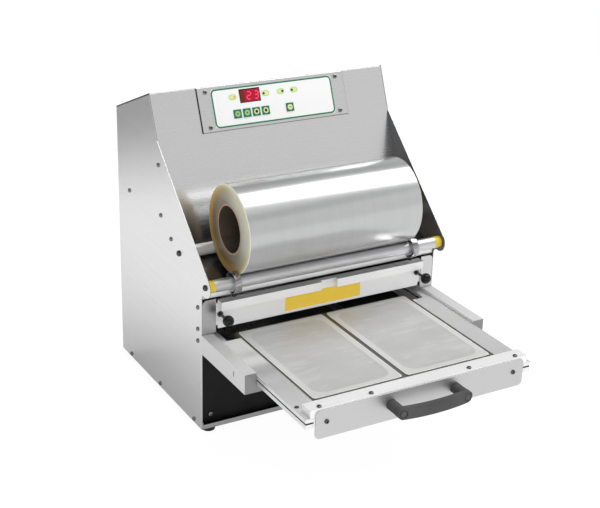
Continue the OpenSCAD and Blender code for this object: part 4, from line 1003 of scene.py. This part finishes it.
class SEALER_OT_controls(Operator):
    """Label, display, lamps and keys on the sloped panel"""

    bl_idname = "sealer.controls"
    bl_label = "Controls"

    KEYS = ("menu_key", "down_key", "up_key", "set_key", "start_key")
    FAINT_KEYS, RING_KEYS = ("menu_key", "down_key"), ("up_key", "set_key")
    # Places of the lamps across the slope, and of each lamp's dot from its middle
    LAMPS = (-0.0763, -0.0142, 0.0146, 0.0401)
    DOTS = (0.0032, -0.0035, 0.0035, -0.0035)
    DOT_RADIUS, DOT_RISE = 0.0021, LABEL_RISE + 0.0002
    # The label's border: half width, half height and corner of its outer and inner edge
    BORDER = ((0.1149, 0.0324, 0.0075), (0.1123, 0.0298, 0.0055))
    # Places of the two digits across the slope, with their lit bars
    DIGITS = ((-0.0456, "abged"), (-0.0316, "abgcd"))
    KEY_MARK, KEY_RING, KEY_DISC, KEY_DOT = 0.0048, 0.0027, 0.0026, 0.0017
    KEY_TOP = KEY_RISE + 0.00006

    def execute(self, context):
        tone = colours()
        finish_nodes(printed("label_film", tone.label, 0.38), "control_label")
        finish_nodes(printed("key_teal", tone.teal, 0.4), *self.KEYS)
        finish_nodes(self.display_glass(tone), "display_window")
        finish_nodes(printed("lamp_lime", tone.lime, 0.35), "indicator_lamps")
        self.border(tone)
        self.digits(tone)
        self.lamp_marks(tone)
        self.key_marks(tone)
        return {"FINISHED"}

    def display_glass(self, tone):
        """The display's window, darker on its left, with a black edge."""
        finish = Finish("display_glass", tone.display, 0.3, Specular_IOR_Level=0.2)
        x = finish.axis("X")
        cells = finish.grain(1500.0, 1.0)
        left = 1.0 - x.ease(-0.0545, -0.0525)
        window = finish.blend(left, finish.shade(cells, 0.9, 1.3), (0.15, 0.024, 0.014))
        side = abs(x - node_centre("display_window").x).ease(0.0178, 0.0181)
        ends = abs(down_slope(finish) - DISPLAY_ROW).ease(0.0098, 0.0101)
        edge = finish.blend(side + ends, window, (0.010, 0.006, 0.006))
        return finish.surface(edge, (cells - 0.5) * 0.06 + 0.3)

    def border(self, tone):
        """The line round the label."""
        shape = bmesh.new()
        outer, inner = (outline_rect(*edge, 8) for edge in self.BORDER)
        slope_mark(shape, (0.0, LABEL_ROW), outer, LABEL_RISE, inner)
        new_piece("label_border", shape, [printed("border_ink", tone.teal)], "body", "key_green")

    def digits(self, tone):
        """The numbers 2 and 3 in seven-segment bars."""
        shape = bmesh.new()
        half_w, half_h, thick, lean, gap = 0.0034, 0.0062, 0.0008, 0.10, 0.0006
        bars = {"a": (0, half_h, 1), "g": (0, 0, 1), "d": (0, -half_h, 1), "b": (half_w, half_h / 2, 0),
                "c": (half_w, -half_h / 2, 0), "e": (-half_w, -half_h / 2, 0)}
        for middle, lit in self.DIGITS:
            for x, y, flat in (bars[bar] for bar in lit):
                run = (half_w if flat else half_h / 2) - gap
                ends = [(-run, 0.0), (-run + thick, thick), (run - thick, thick), (run, 0.0),
                        (run - thick, -thick), (-run + thick, -thick)]
                if not flat:
                    ends = [(v, u) for u, v in ends]
                points = [(x + u + (y + v) * lean, y + v) for u, v in ends]
                slope_mark(shape, (middle, DISPLAY_ROW), points, DISPLAY_RISE)
        glow = {"Emission_Color": (1.0, 0.05, 0.10, 1.0), "Emission_Strength": 0.85}
        ink = printed("digit_glow", tone.digits, 0.4, **glow)
        new_piece("display_digits", shape, [ink], "body", "display_red")

    def lamp_marks(self, tone):
        """The two lines round each lamp, and the dot in it, which is amber in the first."""
        shape = bmesh.new()
        rings = [outline_rect(0.0050 + grow, 0.0025 + grow, 0.0024 + grow) for grow in (0.0, 0.0012, 0.0021)]
        for x in self.LAMPS:
            slope_mark(shape, (x, LAMP_ROW), rings[1], LABEL_RISE, rings[0])
            slope_mark(shape, (x, LAMP_ROW), rings[2], LABEL_RISE, rings[1], finish=1)
        pills = [printed("pill_pale", tone.lime), printed("pill_ink", tone.pill)]
        new_piece("lamp_pills", shape, pills, "body", "lamp_green")
        dot = outline_disc(self.DOT_RADIUS, 20)
        places = [(x + shift, LAMP_ROW) for x, shift in zip(self.LAMPS, self.DOTS)]
        for name, spots, ink, slot in (
            ("lamp_dots", places[1:], printed("dot_ink", tone.black), "black_matte"),
            ("lamp_lit_end", places[:1], printed("amber_ink", (0.80, 0.42, 0.02)), "lamp_green"),
        ):
            shape = bmesh.new()
            for spot in spots:
                slope_mark(shape, spot, dot, self.DOT_RISE)
            new_piece(name, shape, [ink], "body", slot)

    def key_marks(self, tone):
        """The print on each key: a faint disc with a dot, a ring round a disc, or a disc with a bar."""
        pale = printed("key_pale", (0.66, 0.76, 0.34))
        dim = printed("key_dim", (0.33, 0.52, 0.18))
        ink = printed("key_black", tone.black)
        whole = outline_disc(self.KEY_MARK)
        for key in self.KEYS:
            shape = bmesh.new()
            spot = (node_centre(key).x, KEY_ROW)
            finishes = [pale, ink]
            if key in self.RING_KEYS:
                slope_mark(shape, spot, whole, KEY_RISE, outline_disc(self.KEY_RING))
                slope_mark(shape, spot, outline_disc(self.KEY_DISC), KEY_RISE, finish=1)
            else:
                slope_mark(shape, spot, whole, KEY_RISE)
                sign = outline_rect(0.0022, 0.0006, 0.0004, 3)
                if key in self.FAINT_KEYS:
                    sign = outline_disc(self.KEY_DOT)
                    finishes = [dim, printed(key + "_mark", tone.teal)]
                slope_mark(shape, spot, sign, self.KEY_TOP, finish=1)
            new_piece(key + "_print", shape, finishes, key, "lamp_green")


class SEALER_OT_handle(Operator):
    """Bow handle and its cover caps"""

    bl_idname = "sealer.handle"
    bl_label = "Handle"

    def execute(self, context):
        tone = colours()
        grip = moulded("handle_matte", tone.handle, 0.66, 1400.0, 0.00005, 0.0018, Specular_IOR_Level=0.15)
        finish_nodes(grip, "drawer_handle")
        finish_nodes(self.cap_matte(tone), "handle_caps")
        return {"FINISHED"}

    def cap_matte(self, tone):
        """A cap with a dark seam round its disc."""
        centre, half = node_centre("handle_caps"), node_half("handle_caps")
        finish = Finish("cap_matte", tone.handle, 0.5, Specular_IOR_Level=0.3)
        across = abs(finish.axis("X") - centre.x) - (half.x - half.z)
        above = finish.axis("Z") - centre.z
        radius = (across * across + above * above).root() / half.z
        seam = radius.ease(0.74, 0.80) * (1.0 - radius.ease(0.90, 0.96))
        pores = finish.grain(1400.0, 2.0, 0.6)
        tone = finish.blend(seam, finish.shade(pores.ease(0.25, 0.75), 0.9, 1.1), grey(0.012))
        return finish.surface(tone, (pores - 0.5) * 0.15 + 0.5, None, 1.0 - seam, 0.0004)


class SEALER_OT_trays(Operator):
    """Moulded trays and their sealed lids"""

    bl_idname = "sealer.trays"
    bl_label = "Trays"

    # Middle and half width of a lid across the drawer, and its film's thickness
    LID_MIDDLE, LID_HALF, LID_THICK = 0.0825, 0.0785, 0.00030
    # Corners of a lid: at its edge, at the end of its rim, the least, and how fast they shrink to it
    RIM = 0.014
    EDGE_CORNER, RIM_CORNER, LEAST_CORNER, SHRINK = 0.004, 0.026, 0.0005, 0.42
    # Where the film starts to sag and over which run, and the rounding of the lid's edge
    SAG_START, SAG_RUN = 0.0105, 0.006
    EDGE_WIDTH, EDGE_DROP = 0.0003, 0.00012

    def execute(self, context):
        tone = colours()
        finish_nodes(moulded("tray_plastic", tone.tray, 0.35, 700.0, 0.00002), "food_trays")
        (_, front, _), (_, back, top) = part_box("lid_films")
        shape = bmesh.new()
        shape.verts.layers.float.new("inset")
        for side in SIDES:
            place = Vector((side * self.LID_MIDDLE, (front + back) / 2, top))
            self.lid(shape, place, self.LID_HALF, (back - front) / 2, side)
        new_piece("sealed_lids", shape, [self.lid_film(tone)], "drawer", "lid_film", ["lid_films"], 60.0)
        return {"FINISHED"}

    def lid(self, shape, middle, half_w, half_l, side):
        """One lid: a flat rim, then a film that sags and creases inside it."""
        depth = shape.verts.layers.float["inset"]
        insets = [0.0, 0.0004, 0.0030, 0.0065, 0.0100, 0.0118, 0.0130, 0.0142, 0.0155]
        insets += [0.0180 + 0.0030 * i for i in range(20)]
        top, under = [], []
        for inset in insets:
            upper, lower = [], []
            for x, y in self.even(outline_rect(half_w - inset, half_l - inset, self.corner(inset), 9)):
                place = Vector((middle.x + x, middle.y + y, middle.z - self.drop(x, y, inset, side)))
                upper.append(shape.verts.new(place))
                lower.append(shape.verts.new(place - Vector((0.0, 0.0, self.LID_THICK))))
                upper[-1][depth] = lower[-1][depth] = inset
            top.append(upper)
            under.append(lower)
        pairs = list(zip(top, top[1:])) + [(under[0], top[0])] + list(zip(under[1:], under))
        skin(shape, pairs, [top[-1], under[-1][::-1]])

    def corner(self, inset):
        """Radius of a lid's corners at a distance in from its edge."""
        if inset <= self.RIM:
            return self.EDGE_CORNER + (self.RIM_CORNER - self.EDGE_CORNER) * (inset / self.RIM)
        return max(self.LEAST_CORNER, self.RIM_CORNER - (inset - self.RIM) * self.SHRINK)

    def even(self, outline, count=168):
        """Spreads points evenly round an outline."""
        loop = [Vector(point) for point in outline + outline[:1]]
        steps = [(b - a).length for a, b in zip(loop, loop[1:])]
        points, part, gone = [], 0, 0.0
        for i in range(count):
            want = sum(steps) * i / count
            while part < len(steps) - 1 and gone + steps[part] < want:
                gone += steps[part]
                part += 1
            share = (want - gone) / steps[part] if steps[part] else 0.0
            points.append(loop[part].lerp(loop[part + 1], share))
        return points

    def drop(self, x, y, inset, side):
        """How far the film lies below the rim."""
        if inset < self.SAG_START:
            return self.EDGE_DROP if inset < self.EDGE_WIDTH else 0.0
        ease = min(1.0, (inset - self.SAG_START) / self.SAG_RUN)
        ease = ease * ease * (3.0 - 2.0 * ease)
        crease = noise.noise(Vector((x * 17.0 + side * 3.0, y * 38.0 + x * 14.0, 2.0)))
        crease += 0.5 * noise.noise(Vector((x * 50.0, y * 90.0 + side, 5.0)))
        strength = sizes().lid_crease * (1.0 if side > 0 else 0.6)
        return ease * (sizes().lid_sag + strength * crease)

    def lid_film(self, tone):
        """Hazy film with paler creases as painted sheen, and a paler rim with a painted highlight along its
        edge.
        """
        finish = Finish("lid_film", tone.lid, 0.36, 0.0, Coat_Weight=0.15, Coat_Roughness=0.2)
        haze = finish.grain((12.0, 22.0, 22.0), 4.0, 0.6)
        streaks = finish.grain((30.0, 120.0, 60.0), 3.0, 0.6)
        cloud = (haze * 0.7 + streaks * 0.3).ease(0.35, 0.72)
        inset = finish.node("ShaderNodeAttribute", {"attribute_name": "inset"}, output="Fac")
        rim = 1.0 - inset.ease(0.0098, 0.0112)
        folds = finish.grain((14.0, 48.0, 30.0), 5.0, 0.7)
        # Painted sheen: the creases are paler.
        crease = folds.ease(0.52, 0.59) * (1.0 - folds.ease(0.60, 0.70)) * (1.0 - rim)
        film = finish.blend(crease * 0.22, finish.shade(cloud, 0.95, 1.05), (0.74, 0.74, 0.73))
        # Painted highlight: a bright line along the lid's edge.
        edge = 1.0 - inset.ease(0.0006, 0.0020)
        band = finish.blend(edge, (0.66, 0.66, 0.655), (0.86, 0.86, 0.85))
        return finish.surface(finish.blend(rim, film, band), cloud * 0.14 + 0.30, None, streaks, 0.0003, 0.3)


class SEALER_OT_strip(Operator):
    """Plain yellow strip on the film guard"""

    bl_idname = "sealer.strip"
    bl_label = "Guard strip"

    LOW, HIGH = (-0.070, -0.00315, 0.1955), (0.075, -0.00302, 0.2225)

    def execute(self, context):
        shape = bmesh.new()
        bmesh.ops.create_cube(shape, size=1.0)
        for vert in shape.verts:
            vert.co = [low if place < 0 else high for place, low, high in zip(vert.co, self.LOW, self.HIGH)]
        bmesh.ops.subdivide_edges(shape, edges=shape.edges[:], cuts=2, use_grid_fill=True)
        ink = printed("strip_ink", colours().strip, 0.45, Specular_IOR_Level=0.25)
        new_piece("guard_yellow_strip", shape, [ink], "body", "bush_yellow")
        return {"FINISHED"}


class SEALER_PT_looks(Panel):
    """Lists the sealer's looks"""

    bl_idname = "SEALER_PT_looks"
    bl_label = "Tray Sealer"
    bl_space_type = "VIEW_3D"
    bl_region_type = "UI"
    bl_category = "Tray Sealer"

    def draw(self, context):
        looks = context.scene.sealer_looks
        for operator in OPERATORS:
            self.layout.operator(operator.bl_idname)
        for group in (looks.sizes, looks.colours):
            column = self.layout.column()
            for key in group.__annotations__:
                column.prop(group, key)


OPERATORS = (
    SEALER_OT_stage,
    SEALER_OT_sheets,
    SEALER_OT_insides,
    SEALER_OT_screws,
    SEALER_OT_film,
    SEALER_OT_rollers,
    SEALER_OT_plungers,
    SEALER_OT_controls,
    SEALER_OT_handle,
    SEALER_OT_trays,
    SEALER_OT_strip,
)
CLASSES = (SealerSizes, SealerColours, SealerLooks) + OPERATORS + (SEALER_PT_looks,)


def register():
    for cls in CLASSES:
        bpy.utils.register_class(cls)
    bpy.types.Scene.sealer_looks = PointerProperty(type=SealerLooks)


def unregister():
    del bpy.types.Scene.sealer_looks
    for cls in reversed(CLASSES):
        bpy.utils.unregister_class(cls)


def main():
    register()
    for operator in OPERATORS:
        group, name = operator.bl_idname.split(".")
        getattr(getattr(bpy.ops, group), name)()


if __name__ == "__main__":
    main()
